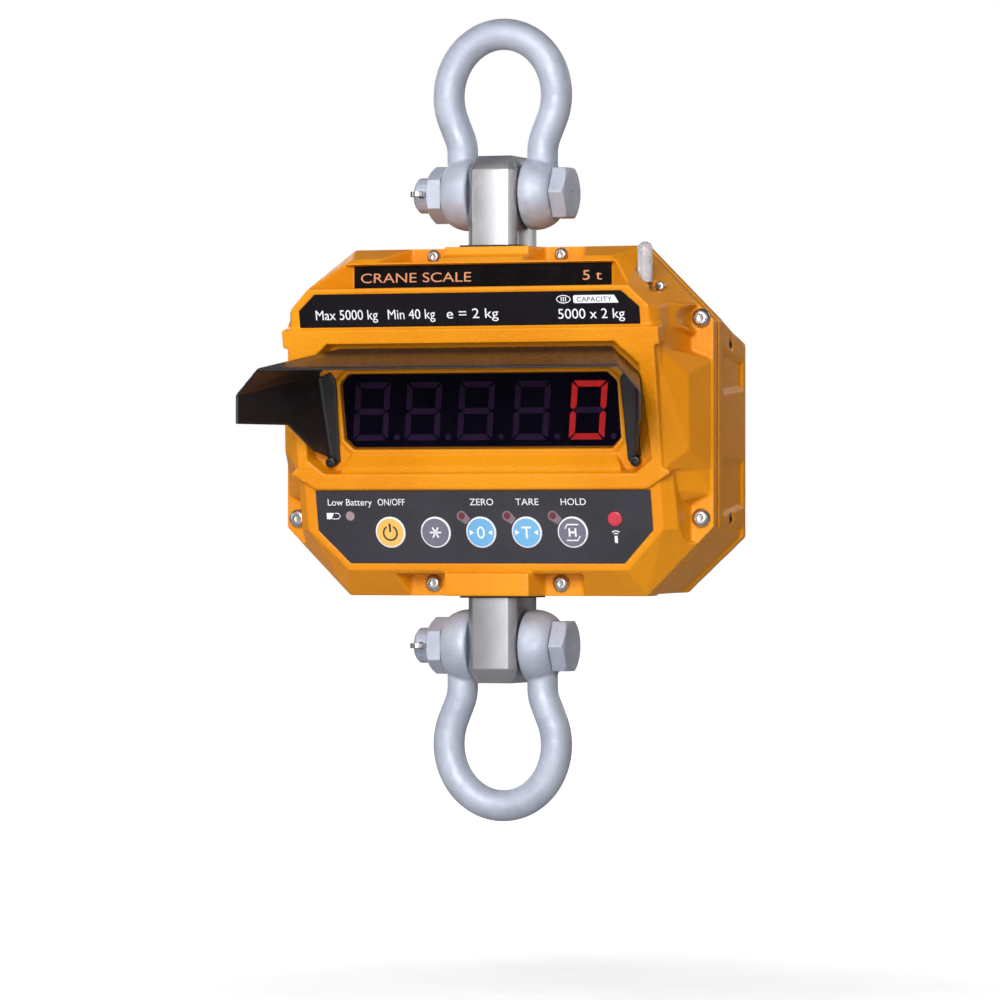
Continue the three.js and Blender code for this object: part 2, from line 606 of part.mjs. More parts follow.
function hoodSide() {
  const { sheet, back, front, notch, heel, flange } = HOOD;
  const slope = (front.sideHalf - back.sideHalf) / (front.y - back.y);
  const sideX = (y) => back.sideHalf + slope * (y - back.y);
  const wall = ([y, z]) => [[sideX(y), y, z], [sideX(y) - sheet, y, z]];
  const shoulder = hull([
    [back.topHalf, hoodBack(back.topZ), back.topZ], [back.topHalf, hoodBack(back.topZ), back.topZ - sheet],
    ...wall([hoodBack(back.cutZ), back.cutZ]),
    [front.topHalf, front.y, front.topZ], [front.topHalf, front.y, front.topZ - sheet],
    ...wall([front.y, front.cutZ]),
  ]);
  const cheek = hull([
    [hoodBack(back.cutZ), back.cutZ], [front.y, front.cutZ], [front.y, front.lowZ], [notch.y, notch.z],
    [hoodBack(notch.z), notch.z],
  ].flatMap(wall));
  const heelPlate = hull([
    [hoodBack(back.cutZ - 5), back.cutZ - 5], [notch.y, notch.z + 5], [notch.y, notch.z], [heel.y, heel.z],
    [hoodBack(-286), -286],
  ].flatMap(wall));
  const leafPoint = (x, z) => [[x, hoodBack(z), z], [x, hoodBack(z) - sheet, z]];
  const outer = back.sideHalf - 0.8;
  const leafPlate = hull([
    ...leafPoint(outer, -229), ...leafPoint(flange.inner + 4, -226), ...leafPoint(flange.inner, -232),
    ...leafPoint(flange.inner + 1.5, -288), ...leafPoint(flange.inner + 6, flange.low),
    ...leafPoint(outer - 5.5, flange.low), ...leafPoint(outer, -285),
  ]);
  return join(shoulder, cheek, heelPlate, leafPlate);
}

function displayHood() {
  const { sheet, back, front } = HOOD;
  const backY = hoodBack(back.topZ);
  const roof = hull(bothSides([
    [back.topHalf, backY, back.topZ], [back.topHalf, backY, back.topZ - sheet],
    [front.topHalf, front.y, front.topZ], [front.topHalf, front.y, front.topZ - sheet],
  ]));
  const side = hoodSide();
  const headRoom = hoodHoles(4.2, RECESS.floor - sheet - GAP);
  return cut(join(roof, side, side.mirror([1, 0, 0])), ...hoodHoles(2.4), ...headRoom);
}

function hoodScrew() {
  const y = RECESS.floor - HOOD.sheet - 2 * GAP;
  const outline = [[0, y + 12], [2, y + 12], [2, y], [3.6, y], [3.6, y - 2.6], [3, y - 3.2], [0, y - 3.2]];
  return cut(turned(outline, 'y', 10), rod(1.6, y - 4, y - 1.6, 'y', 6));
}

// ---- rear housing ----
function sidePad([frontTop, backTop, frontLow, backLow]) {
  const root = 150;
  const top = REAR_RIM.half;
  const draft = 3;
  return hull([
    [root, 9, frontTop], [root, 62, backTop], [root, 9, frontLow], [root, 62, backLow],
    [top, 9 + draft, frontTop - draft], [top, 62, backTop - draft],
    [top, 9 + draft, frontLow + draft], [top, 62, backLow + draft],
  ]);
}

function rearHousing() {
  const lip = prism(octagon(RIM), REAR_FRONT, 11);
  const shell = hull([
    ...at(octagon({ ...RIM, half: REAR_SHELL.frontHalf, top: -140, bottom: -381 }), REAR_FRONT + 1),
    ...at(octagon({ ...REAR, half: REAR_SHELL.backHalf }), REAR_BACK),
  ]);
  const backRim = prism(octagon({ ...REAR, half: REAR_RIM.half }), REAR_BACK - REAR_RIM.depth, REAR_BACK);
  const pads = SIDE_PADS.map(sidePad);
  const outside = join(lip, shell, backRim, ...pads, ...pads.map((pad) => pad.mirror([1, 0, 0])));
  const hollow = hull([
    ...at(octagon(RIM, FLANGE_WIDTH + 3), 0),
    ...at(octagon(REAR, REAR_SHELL.wall), REAR_BACK - REAR_SHELL.floor),
  ]);
  const bay = box(-BAY.half, BAY.half, 50, 70, BAY.bottom, BAY.top);
  const screwHoles = SCREWS.map(([, x, z]) =>
    rod(SCREW_HOLE, -2, SCREW_TIP + 1.5, 'y', 10).translate([x, 0, z]));
  const sideHoles = SIDE_SCREWS.flatMap(([, z]) => SIDES.map((side) => {
    const bore = join(rod(3.6, 155.2, 170, 'x', 12), rod(1.8, 140, 170, 'x', 12));
    return (side > 0 ? bore : bore.mirror([1, 0, 0])).translate([0, SIDE_SCREW_Y, z]);
  }));
  const clampHoles = CLAMPS.flatMap(([, z]) => SIDES.map((side) =>
    rod(SCREW_HOLE, 50, 70, 'y', 10).translate([side * CLAMP.screwX, 0, z - CLAMP.height / 2])));
  const thumbHoles = SIDES.map((side) => rod(3.6, 50, 70, 'y', 10).translate([side * THUMB.x, 0, THUMB.z]));
  const knuckles = SIDES.map((side) => hingeKnuckle(Math.min(side * 31, side * HINGE.half),
    Math.max(side * 31, side * HINGE.half), REAR_BACK - 2));
  const pinBore = rod(HINGE.pin + GAP, -70, 70, 'x', 12).translate([0, HINGE.y, HINGE.z]);
  return cut(join(cut(outside, hollow, bay), ...knuckles), ...screwHoles, ...sideHoles, ...clampHoles,
    ...thumbHoles, pinBore, cellSlot());
}

// Hinge knuckle along X, with a foot that reaches back to the plane y = footY.
function hingeKnuckle(x0, x1, footY) {
  const barrel = rod(HINGE.radius, x0, x1, 'x', 20).translate([0, HINGE.y, HINGE.z]);
  const foot = box(x0, x1, footY, HINGE.y, HINGE.z - 2.6, HINGE.z + 2.6);
  return join(barrel, foot);
}

function sideScrew(side) {
  const outline = [[0, 147], [1.5, 147], [1.5, 155.5], [3.2, 155.5], [3.2, 157.2], [2.4, 157.9], [0, 157.9]];
  const screw = cut(turned(outline, 'x', 8), rod(1.2, 156.6, 159, 'x', 6));
  return side > 0 ? screw : screw.mirror([1, 0, 0]);
}

// Half of the gasket between the two shells; the load cell's slot parts it at the top and the bottom.
function gasketHalf(side) {
  const opening = prism(octagon(RIM, FLANGE_WIDTH + 1), -5, 8);
  const ring = cut(prism(octagon(RIM, GASKET_INSET), GAP, REAR_FRONT - GAP), opening);
  const parting = CELL.halfX + 7;
  const other = side > 0 ? box(-200, parting, -5, 8, -400, -100) : box(-parting, 200, -5, 8, -400, -100);
  const holes = SCREWS.map(([, x, z]) => rod(SCREW_HOLE + 0.4, -5, 8, 'y', 10).translate([x, 0, z]));
  return cut(ring, other, ...holes);
}

// ---- battery bay ----
function batteryPack() {
  const { half, top, bottom, front, back } = BATTERY;
  const radius = (back - front) / 2;
  const cells = [top - radius, bottom + radius].map((z) =>
    rod(radius, -half, half, 'x', 20).translate([0, front + radius, z]));
  return join(box(-half, half, front + 1.5, back - 1.5, bottom + radius, top - radius), ...cells);
}

function batteryDoor() {
  const { half, top, bottom, front, thickness } = DOOR;
  const outline = octagon({ half, top, bottom, topCut: [8, 8], bottomCut: [3, 3] });
  const corner = [8, 8];
  const raised = octagon({
    half: half - 12, top: top - 16, bottom: bottom + 10, topCut: corner, bottomCut: corner,
  });
  const panel = prism(raised, front + 1, front + thickness + 1.6);
  const sheet = join(prism(outline, front, front + thickness), panel);
  const barrel = rod(HINGE.radius, -HINGE.door, HINGE.door, 'x', 20).translate([0, HINGE.y, HINGE.z]);
  const web = box(-HINGE.door, HINGE.door, front + 1, front + thickness, HINGE.z, bottom + 2);
  const holes = SIDES.map((side) => rod(3, 55, 80, 'y', 10).translate([side * THUMB.x, 0, THUMB.z]));
  const bore = rod(HINGE.pin + GAP, -70, 70, 'x', 12).translate([0, HINGE.y, HINGE.z]);
  return cut(join(sheet, barrel, web), ...holes, bore);
}

const hingePin = () =>
  rod(HINGE.pin, -HINGE.half + 1, HINGE.half - 1, 'x', 14).translate([0, HINGE.y, HINGE.z]);

function thumbScrew() {
  const y = DOOR.front + DOOR.thickness + GAP;
  const { knob, height, shank } = THUMB;
  const tip = REAR_BACK - 2.5;
  const body = turned([
    [0, tip], [shank, tip], [shank, y], [knob, y], [knob, y + height - 1], [knob - 1, y + height],
    [0, y + height],
  ], 'y', 20);
  const slot = box(-0.9, 0.9, y + height - 2, y + height + 1, -knob - 1, knob + 1);
  return cut(body, slot);
}

// ---- inner clamps and board ----
function cellClamp(z) {
  const { half, height, back, screwX } = CLAMP;
  const block = box(-half, half, CELL.halfY + GAP, back, z - height, z);
  const arms = SIDES.map((side) => (side > 0
    ? box(CELL.halfX + GAP, half, 0, 30, z - height, z)
    : box(-half, -CELL.halfX - GAP, 0, 30, z - height, z)));
  const holes = SIDES.map((side) => rod(3.3, 30, 70, 'y', 10).translate([side * screwX, 0, z - height / 2]));
  const relief = box(-10, 10, 34, back + 1, z - height - 1, z + 1);
  return cut(join(block, ...arms), ...holes, relief);
}

const clampScrew = () => cut(
  turned([[0, 36], [3, 36], [3, REAR_BACK + GAP], [5.5, REAR_BACK + GAP], [5.5, REAR_BACK + 2.4],
    [4, REAR_BACK + 3.6], [0, REAR_BACK + 3.6]], 'y', 10),
  rod(1.9, REAR_BACK + 1.6, REAR_BACK + 5, 'y', 6),
);

function mainBoard() {
  const board = box(30, 122, -9, -7.4, -300, -186);
  const chips = [
    [40, 62, -30, -8, -230, -205], [74, 92, -14, -8, -222, -204], [98, 114, -20, -8, -290, -262],
    [44, 84, -12, -8, -284, -270], [48, 60, -16, -8, -258, -244],
  ];
  return join(board, ...chips.map((chip) => box(...chip)));
}

// ---- seal at the upper right corner ----
function sealScrew() {
  const y = SEAL.flat;
  return turned([[0, y + 5], [1.5, y + 5], [1.5, y - GAP], [3.4, y - GAP], [3.4, y - 1.8], [2.2, y - 2.8],
    [0, y - 2.8]], 'y', 10).translate([SEAL.x, 0, SEAL.z]);
}

function sealSleeve() {
  const { sleeveX, sleeveY, sleeveTop, sleeveLow, sleeveRadius: r } = SEAL;
  const outline = [[0, sleeveLow], [r, sleeveLow], [r, sleeveTop - r], [r * 0.87, sleeveTop - r * 0.5],
    [r * 0.5, sleeveTop - r * 0.13], [0, sleeveTop]];
  return turned(outline, 'z', 12).translate([sleeveX, sleeveY, 0]);
}

function sealWire() {
  const { x, z, flat, sleeveX, sleeveY, sleeveLow } = SEAL;
  const route = new THREE.CatmullRomCurve3([
    V3(sleeveX, sleeveY, sleeveLow - GAP), V3(sleeveX + 0.4, sleeveY, sleeveLow - 2),
    V3(sleeveX + 2.5, sleeveY - 1, sleeveLow - 3.8), V3(x - 2.5, flat - 7, z - 1.5), V3(x, flat - 4.2, z),
  ]);
  return solid(new THREE.ExtrudeGeometry(circleShape(SEAL.wireRadius, 6), {
    steps: 10,
    extrudePath: route,
    bevelEnabled: false,
  }));
}

// ---- assembly ----
addShackle('upper', UPPER_PIN_Z, true);
addShackle('lower', LOWER_PIN_Z, false);
addPiece('load_cell', loadCell(), 'nickel');
addPiece('gauge_cover_right', gaugeCover(), 'stainless');
addPiece('gauge_cover_left', gaugeCover().mirror([1, 0, 0]), 'stainless');
addPiece('upper_cell_seal', cellSeal(RIM.top, 1), 'rubber');
addPiece('lower_cell_seal', cellSeal(RIM.bottom, -1), 'rubber');

addPiece('front_cover', frontCover(), 'orange');
addPiece('rear_housing', rearHousing(), 'orange');
addPiece('gasket_right', gasketHalf(1), 'rubber');
addPiece('gasket_left', gasketHalf(-1), 'rubber');
for (const [name, x, z, radius] of SCREWS) {
  addPiece(name, coverScrew(radius), 'stainless').position.set(x, 0, z);
}

addPiece('name_strip', nameStrip(), 'black');
addPiece('capacity_label', labelPlate(), 'overlay', face);
addPiece('display_window', displayWindow(), 'glass', face);
addPiece('display_module', displayModule(), 'black', face);
addPiece('keypad_overlay', keypadOverlay(), 'overlay', face);
addPiece('key_board', keyBoard(), 'board', face);
KEY_NAMES.forEach((name, index) => {
  const [x, v] = keyPlace(index);
  addPiece(name, key(), KEY_COLOURS[index], face).position.set(x, 0, v);
});
const lens = addPiece('receiver_lens', rod(LENS.radius, -0.6, 6, 'y', 20), LENS_COLOUR, face);
lens.position.set(LENS.x, 0, LENS.v);

addPiece('display_hood', displayHood(), 'black');
for (const side of SIDES) {
  const name = side > 0 ? 'hood_screw_right' : 'hood_screw_left';
  addPiece(name, hoodScrew(), 'black', face).position.set(side * HOOD.screw.x, 0, HOOD.screw.v);
}

for (const [level, z] of SIDE_SCREWS) {
  for (const side of SIDES) {
    const name = `side_screw_${side > 0 ? 'right' : 'left'}_${level}`;
    addPiece(name, sideScrew(side), 'black').position.set(0, SIDE_SCREW_Y, z);
  }
}

addPiece('battery_pack', batteryPack(), 'cell');
addPiece('battery_door', batteryDoor(), 'orange');
addPiece('door_hinge_pin', hingePin(), 'stainless');
for (const side of SIDES) {
  const name = side > 0 ? 'thumb_screw_right' : 'thumb_screw_left';
  addPiece(name, thumbScrew(), 'stainless').position.set(side * THUMB.x, 0, THUMB.z);
}

for (const [name, z] of CLAMPS) {
  addPiece(name, cellClamp(z), 'stainless');
  for (const side of SIDES) {
    const screw = `${name}_screw_${side > 0 ? 'right' : 'left'}`;
    addPiece(screw, clampScrew(), 'stainless').position.set(side * CLAMP.screwX, 0, z - CLAMP.height / 2);
  }
}
addPiece('main_board', mainBoard(), 'board');

addPiece('seal_sleeve', sealSleeve(), 'clear');
addPiece('seal_screw', sealScrew(), 'stainless');
addPiece('seal_wire', sealWire(), 'stainless');

export default object;
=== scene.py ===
"""Crane scale: looks, graphics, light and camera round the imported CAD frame.

Metres, +X right, +Y back, +Z up.
"""
import json
import math

import bmesh
import bpy
from mathutils import Matrix, Vector

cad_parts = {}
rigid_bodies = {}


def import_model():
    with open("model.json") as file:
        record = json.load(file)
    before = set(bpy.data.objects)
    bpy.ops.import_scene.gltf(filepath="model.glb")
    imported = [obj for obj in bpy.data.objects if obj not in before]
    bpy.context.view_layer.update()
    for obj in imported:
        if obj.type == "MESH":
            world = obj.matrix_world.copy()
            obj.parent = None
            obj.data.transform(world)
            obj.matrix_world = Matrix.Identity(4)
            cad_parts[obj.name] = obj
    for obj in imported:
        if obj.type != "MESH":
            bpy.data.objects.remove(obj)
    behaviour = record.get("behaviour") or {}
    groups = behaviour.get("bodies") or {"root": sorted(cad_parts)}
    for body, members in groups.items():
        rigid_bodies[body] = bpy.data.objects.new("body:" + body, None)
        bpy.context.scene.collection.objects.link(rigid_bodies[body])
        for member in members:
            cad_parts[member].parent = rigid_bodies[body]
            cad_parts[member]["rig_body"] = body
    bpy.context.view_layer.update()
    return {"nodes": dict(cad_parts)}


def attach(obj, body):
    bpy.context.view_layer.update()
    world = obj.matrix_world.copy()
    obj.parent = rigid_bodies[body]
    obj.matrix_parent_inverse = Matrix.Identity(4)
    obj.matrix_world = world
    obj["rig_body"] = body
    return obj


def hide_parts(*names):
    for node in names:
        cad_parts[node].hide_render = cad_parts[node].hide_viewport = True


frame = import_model()

MM = 0.001
SCENE = bpy.context.scene
SIDES = (-1, 1)

# places taken from the CAD part; FACE is the leaning front face and UPRIGHT the part's own frame
FACE = Matrix.Translation((0, -55.4 * MM, -255 * MM)) @ Matrix.Rotation(math.radians(12.5), 4, "X")
UPRIGHT = Matrix.Identity(4)
UPPER_PIN = -101
LOWER_SEAT = -518
EAR_INNER, EAR_OUTER, EAR_FLAT_RADIUS = 19.5, 40, 21.5
EARS_FROM = -77
KEYS = ("power_key", "function_key", "zero_key", "tare_key", "hold_key")
KEY_FIRST, KEY_PITCH, KEY_V, KEY_RADIUS = -69.6, 33.7, -84.6, 11.1


# angles in degrees, and the distance in metres within which a CAD node's corners are welded
SMOOTH_ALL, CRISP_SMOOTH, FLAT_ANGLE = 180, 35, 0.6
WELD_DISTANCE = 1e-6


# ---- mesh tools: shapes are drawn in millimetres and scaled to metres when they become a piece ----
def ring_point(axis, c, s, h):
    """A point of a turned body: c and s across the axis, h along it."""
    return {"x": (h, c, s), "y": (c, h, s), "z": (c, s, h)}[axis]


def hex_radius(flat, angle):
    """Radius of a hexagon at an angle, from half its width across flats."""
    return flat / math.cos(angle % (math.pi / 3) - math.pi / 6)


def lathe(bm, profile, axis="y", segments=48, at=(0, 0, 0), paint=None, closed=False):
    """Turned body. A profile row is (radius, height), with 'hex' after them for a hexagonal ring.

    paint[i] is the material of the band after row i.
    """
    rings = []
    for radius, height, *kind in profile:
        if radius == 0:
            angles = [0]
        else:
            angles = [2 * math.pi * k / segments for k in range(segments)]
        ring = []
        for angle in angles:
            r = hex_radius(radius, angle) if kind else radius
            point = Vector(ring_point(axis, r * math.cos(angle), r * math.sin(angle), height))
            ring.append(bm.verts.new(point + Vector(at)))
        rings.append(ring)
    pairs = list(zip(rings, rings[1:]))
    if closed:
        pairs.append((rings[-1], rings[0]))
    for i, (a, b) in enumerate(pairs):
        for k in range(segments):
            j = (k + 1) % segments
            corners = a[:1] if len(a) == 1 else [a[k], a[j]]
            corners = corners + (b[:1] if len(b) == 1 else [b[j], b[k]])
            made = bm.faces.new(corners)
            if paint:
                made.material_index = paint[i]


def slab(bm, outline, front, back):
    """Plate with that outline in x and v, from depth front to depth back."""
    rows = [[bm.verts.new((x, d, v)) for x, v in outline] for d in (front, back)]
    bm.faces.new(rows[0])
    bm.faces.new(list(reversed(rows[1])))
    for i in range(len(outline)):
        j = (i + 1) % len(outline)
        bm.faces.new([rows[0][i], rows[1][i], rows[1][j], rows[0][j]])


def band(bm, left, right, front, back, closed=False):
    """Plate between two lines of points, such as a ring or an arc."""
    (fl, fr), (bl, br) = [[[bm.verts.new((x, d, v)) for x, v in line] for line in (left, right)]
                          for d in (front, back)]
    count = len(left)
    for i in range(count if closed else count - 1):
        j = (i + 1) % count
        bm.faces.new([fl[i], fl[j], fr[j], fr[i]])
        bm.faces.new([bl[i], br[i], br[j], bl[j]])
        bm.faces.new([fl[i], bl[i], bl[j], fl[j]])
        bm.faces.new([fr[i], fr[j], br[j], br[i]])
    if not closed:
        for i in (0, count - 1):
            bm.faces.new([fl[i], fr[i], br[i], bl[i]])


def circle(x, v, radius, count=40, start=0.0, end=360.0):
    """Points round a circle, or along an arc of it with both ends when end - start is under a turn."""
    whole = end - start >= 360
    steps = count if whole else count - 1
    angles = [math.radians(start + (end - start) * i / steps) for i in range(count)]
    return [(x + radius * math.cos(a), v + radius * math.sin(a)) for a in angles]


def oval(x, v, half_width, half_height, count=36):
    angles = [2 * math.pi * k / count for k in range(count)]
    return [(x + half_width * math.cos(a), v + half_height * math.sin(a)) for a in angles]


def new_piece(name, bm, body, materials, replaces=(), matrix=UPRIGHT, smooth=40):
    """Makes the bmesh an object that rides on a CAD body. Edges below the angle smooth are shaded smooth."""
    bmesh.ops.recalc_face_normals(bm, faces=bm.faces)
    mesh = bpy.data.meshes.new(name)
    bm.to_mesh(mesh)
    bm.free()
    mesh.transform(matrix @ Matrix.Scale(MM, 4))
    return adopt(name, mesh, body, materials, replaces, smooth)


def adopt(name, mesh, body, materials, replaces=(), smooth=40):
    """Makes the mesh, in metres, an object on a CAD body. It takes the place of the nodes in replaces."""
    for material in materials:
        mesh.materials.append(material)
    if smooth:
        mesh.shade_smooth()
        if smooth < SMOOTH_ALL:
            mesh.set_sharp_from_angle(angle=math.radians(smooth))
    piece = bpy.data.objects.new(name, mesh)
    SCENE.collection.objects.link(piece)
    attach(piece, body)
    if replaces:
        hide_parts(*replaces)
    return piece


def evaluated(mesh, modifiers):
    """The mesh after these modifiers, each (type, {setting: value})."""
    helper = bpy.data.objects.new("helper", mesh)
    SCENE.collection.objects.link(helper)
    for kind, settings in modifiers:
        modifier = helper.modifiers.new(kind, kind)
        for key, value in settings.items():
            setattr(modifier, key, value)
    graph = bpy.context.evaluated_depsgraph_get()
    made = bpy.data.meshes.new_from_object(helper.evaluated_get(graph))
    bpy.data.objects.remove(helper)
    return made


def cad_mesh(node):
    """A CAD node's welded shape as a new mesh."""
    bm = bmesh.new()
    bm.from_mesh(frame["nodes"][node].data)
    bmesh.ops.remove_doubles(bm, verts=bm.verts, dist=WELD_DISTANCE)
    points = [v.co.copy() for v in bm.verts]
    faces = [[v.index for v in f.verts] for f in bm.faces]
    bm.free()
    mesh = bpy.data.meshes.new(node)
    mesh.from_pydata(points, [], faces)
    return mesh


def body_of(node):
    return frame["nodes"][node]["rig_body"]


def soften(mesh, voxel, rounds):
    """Cast or forged look: the mesh as one skin of small faces, with its edges rounded off."""
    return evaluated(mesh, [
        ("REMESH", {"mode": "VOXEL", "voxel_size": voxel * MM}),
        ("SMOOTH", {"factor": 0.5, "iterations": rounds}),
    ])


def soft_piece(node, material, voxel, rounds):
    """A CAD node's softened copy, shaded smooth all over."""
    made = soften(cad_mesh(node), voxel, rounds)
    return adopt(node + "_skin", made, body_of(node), [material], [node], SMOOTH_ALL)


def crisp_piece(node, material, width, angle=25):
    """Machined look: the CAD shape with its flat faces merged and its edges broken."""
    mesh = cad_mesh(node)
    bm = bmesh.new()
    bm.from_mesh(mesh)
    bmesh.ops.dissolve_limit(bm, angle_limit=math.radians(FLAT_ANGLE), verts=bm.verts, edges=bm.edges)
    bm.to_mesh(mesh)
    bm.free()
    made = evaluated(mesh, [("BEVEL", {
        "width": width * MM, "segments": 2, "limit_method": "ANGLE", "angle_limit": math.radians(angle),
    })])
    return adopt(node + "_body", made, body_of(node), [material], [node], CRISP_SMOOTH)


# ---- material tools ----
class Paint:
    """A procedural material. Its patterns are in object coordinates, which are metres in the part's frame."""

    def __init__(self, name, **sockets):
        self.material = bpy.data.materials.new(name)
        self.material.use_nodes = True
        self.tree = self.material.node_tree
        self.shader = self.tree.nodes["Principled BSDF"]
        self.place = self.node("ShaderNodeTexCoord").outputs["Object"]
        for key, value in sockets.items():
            self.shader.inputs[key.replace("_", " ")].default_value = value

    def node(self, kind, **settings):
        made = self.tree.nodes.new(kind)
        for key, value in settings.items():
            setattr(made, key, value)
        return made

    def feed(self, socket, value):
        if hasattr(value, "is_linked"):
            self.tree.links.new(value, socket)
        elif hasattr(socket.default_value, "__len__") and hasattr(value, "__len__"):
            socket.default_value = (*value, 1)[:len(socket.default_value)]
        else:
            socket.default_value = value

    def stretched(self, x, y, z):
        made = self.node("ShaderNodeMapping")
        self.feed(made.inputs["Vector"], self.place)
        made.inputs["Scale"].default_value = (x, y, z)
        return made.outputs["Vector"]

    def noise(self, scale, detail=2.0, rough=0.5, where=None):
        made = self.node("ShaderNodeTexNoise")
        self.feed(made.inputs["Vector"], where or self.place)
        for key, value in (("Scale", scale), ("Detail", detail), ("Roughness", rough)):
            made.inputs[key].default_value = value
        return made.outputs["Fac"]

    def cells(self, scale):
        made = self.node("ShaderNodeTexVoronoi")
        self.feed(made.inputs["Vector"], self.place)
        made.inputs["Scale"].default_value = scale
        return made.outputs["Distance"]

    def edges(self):
        """Above half on outer edges and below it in corners."""
        return self.node("ShaderNodeNewGeometry").outputs["Pointiness"]

    def spread(self, value, low, high, to_low=0.0, to_high=1.0):
        made = self.node("ShaderNodeMapRange", interpolation_type="SMOOTHSTEP")
        self.feed(made.inputs["Value"], value)
        for key, number in (("From Min", low), ("From Max", high), ("To Min", to_low), ("To Max", to_high)):
            made.inputs[key].default_value = number
        return made.outputs["Result"]

    def blend(self, share, a, b):
        made = self.node("ShaderNodeMix", data_type="RGBA")
        sockets = [s for s in made.inputs if s.enabled]
        self.feed(sockets[0], share)
        self.feed(sockets[1], a)
        self.feed(sockets[2], b)
        return [s for s in made.outputs if s.enabled][0]

    def sums(self, a, b, how="ADD"):
        made = self.node("ShaderNodeMath", operation=how)
        self.feed(made.inputs[0], a)
        self.feed(made.inputs[1], b)
        return made.outputs[0]

    def colour(self, value):
        self.feed(self.shader.inputs["Base Color"], value)

    def rough(self, value):
        self.feed(self.shader.inputs["Roughness"], value)

    def bump(self, *layers):
        """Each layer is (height, strength, distance in mm), the first one lowest."""
        normal = None
        for height, strength, distance in layers:
            made = self.node("ShaderNodeBump")
            self.feed(made.inputs["Height"], height)
            made.inputs["Strength"].default_value = strength
            made.inputs["Distance"].default_value = distance * MM
            if normal:
                self.feed(made.inputs["Normal"], normal)
            normal = made.outputs["Normal"]
        self.feed(self.shader.inputs["Normal"], normal)


def powder_coat():
    """Orange powder coat: grain about a millimetre across, painted shade in corners, and paler edges that are
    partly wear and partly painted highlight.
    """
    p = Paint("orange_powder_coat", Specular_IOR_Level=0.26)
    patches = p.spread(p.noise(9, 3), 0.35, 0.65)
    base = p.blend(patches, (0.83, 0.305, 0.005), (0.75, 0.25, 0.003))
    specks = p.spread(p.noise(1500, 2, 0.6), 0.6, 0.78, 0, 0.3)
    base = p.blend(specks, base, (0.86, 0.40, 0.05))
    # painted shade: the coat is darkened in concave corners, where shade falls
    corners = p.spread(p.edges(), 0.42, 0.49, 0.55, 0)
    base = p.blend(corners, base, (0.30, 0.085, 0.003))
    # paler edges: partly wear, partly a painted highlight along the edges
    edge_wear_and_highlight = p.sums(p.spread(p.edges(), 0.52, 0.60), p.spread(p.noise(70, 4), 0.35, 0.75), "MULTIPLY")
    base = p.blend(p.sums(edge_wear_and_highlight, 0.55, "MULTIPLY"), base, (0.90, 0.50, 0.13))
    p.colour(base)
    p.rough(p.spread(p.noise(240, 3), 0.3, 0.7, 0.3, 0.44))
    grain = p.sums(p.noise(900, 3, 0.6), p.cells(700), "SUBTRACT")
    p.bump((p.noise(120, 2), 0.2, 0.5), (p.noise(480, 2), 0.45, 0.5), (grain, 0.4, 0.3))
    return p.material


def galvanised():
    """Forged steel, hot-dip galvanised: cool grey with cloudy patches, with painted shade in the hollows."""
    p = Paint("galvanised_forging", Metallic=0.45, Specular_IOR_Level=0.4)
    cloud = p.spread(p.noise(38, 5, 0.6), 0.3, 0.7)
    base = p.blend(cloud, (0.405, 0.44, 0.535), (0.51, 0.545, 0.64))
    flakes = p.spread(p.cells(260), 0.1, 0.7)
    base = p.blend(p.sums(flakes, 0.18, "MULTIPLY"), base, (0.58, 0.605, 0.67))
    stain = p.spread(p.noise(14, 6, 0.7), 0.56, 0.74, 0, 0.35)
    base = p.blend(stain, base, (0.32, 0.345, 0.41))
    # painted shade: darker in the hollows, where shade falls
    base = p.blend(p.spread(p.edges(), 0.44, 0.49, 0.5, 0), base, (0.25, 0.27, 0.33))
    p.colour(base)
    p.rough(p.spread(p.noise(150, 4), 0.3, 0.7, 0.5, 0.7))
    p.bump((p.noise(90, 3), 0.3, 0.5), (p.noise(620, 3, 0.6), 0.25, 0.18))
    return p.material


def nickel_plate():
    """Satin nickel on ground steel: fine lines along the bar, with a few places of wear."""
    p = Paint("satin_nickel", Metallic=1.0)
    lines = p.noise(900, 3, 0.6, p.stretched(1, 1, 0.2))
    cloud = p.spread(p.noise(25, 4), 0.3, 0.7)
    base = p.blend(cloud, (0.46, 0.455, 0.47), (0.52, 0.515, 0.53))
    base = p.blend(p.spread(lines, 0.35, 0.8, 0, 0.2), base, (0.42, 0.42, 0.44))
    p.colour(base)
    p.rough(p.spread(p.sums(lines, p.noise(45, 3), "MULTIPLY"), 0.12, 0.4, 0.36, 0.5))
    p.bump((lines, 0.04, 0.02), (p.noise(60, 2), 0.05, 0.2))
    return p.material


def stainless(name, tint, low, high):
    """Bright metal with fine streaks from front to back and a roughness from low to high."""
    p = Paint(name, Metallic=1.0)
    turned = p.noise(1400, 3, 0.6, p.stretched(1, 0.2, 1))
    base = p.blend(p.spread(p.noise(160, 3), 0.35, 0.7), tint, tuple(0.78 * c for c in tint))
    base = p.blend(p.spread(turned, 0.45, 0.8, 0, 0.3), base, tuple(0.6 * c for c in tint))
    p.colour(base)
    p.rough(p.spread(turned, 0.3, 0.7, low, high))
    p.bump((turned, 0.12, 0.04), (p.noise(300, 2), 0.1, 0.1))
    return p.material


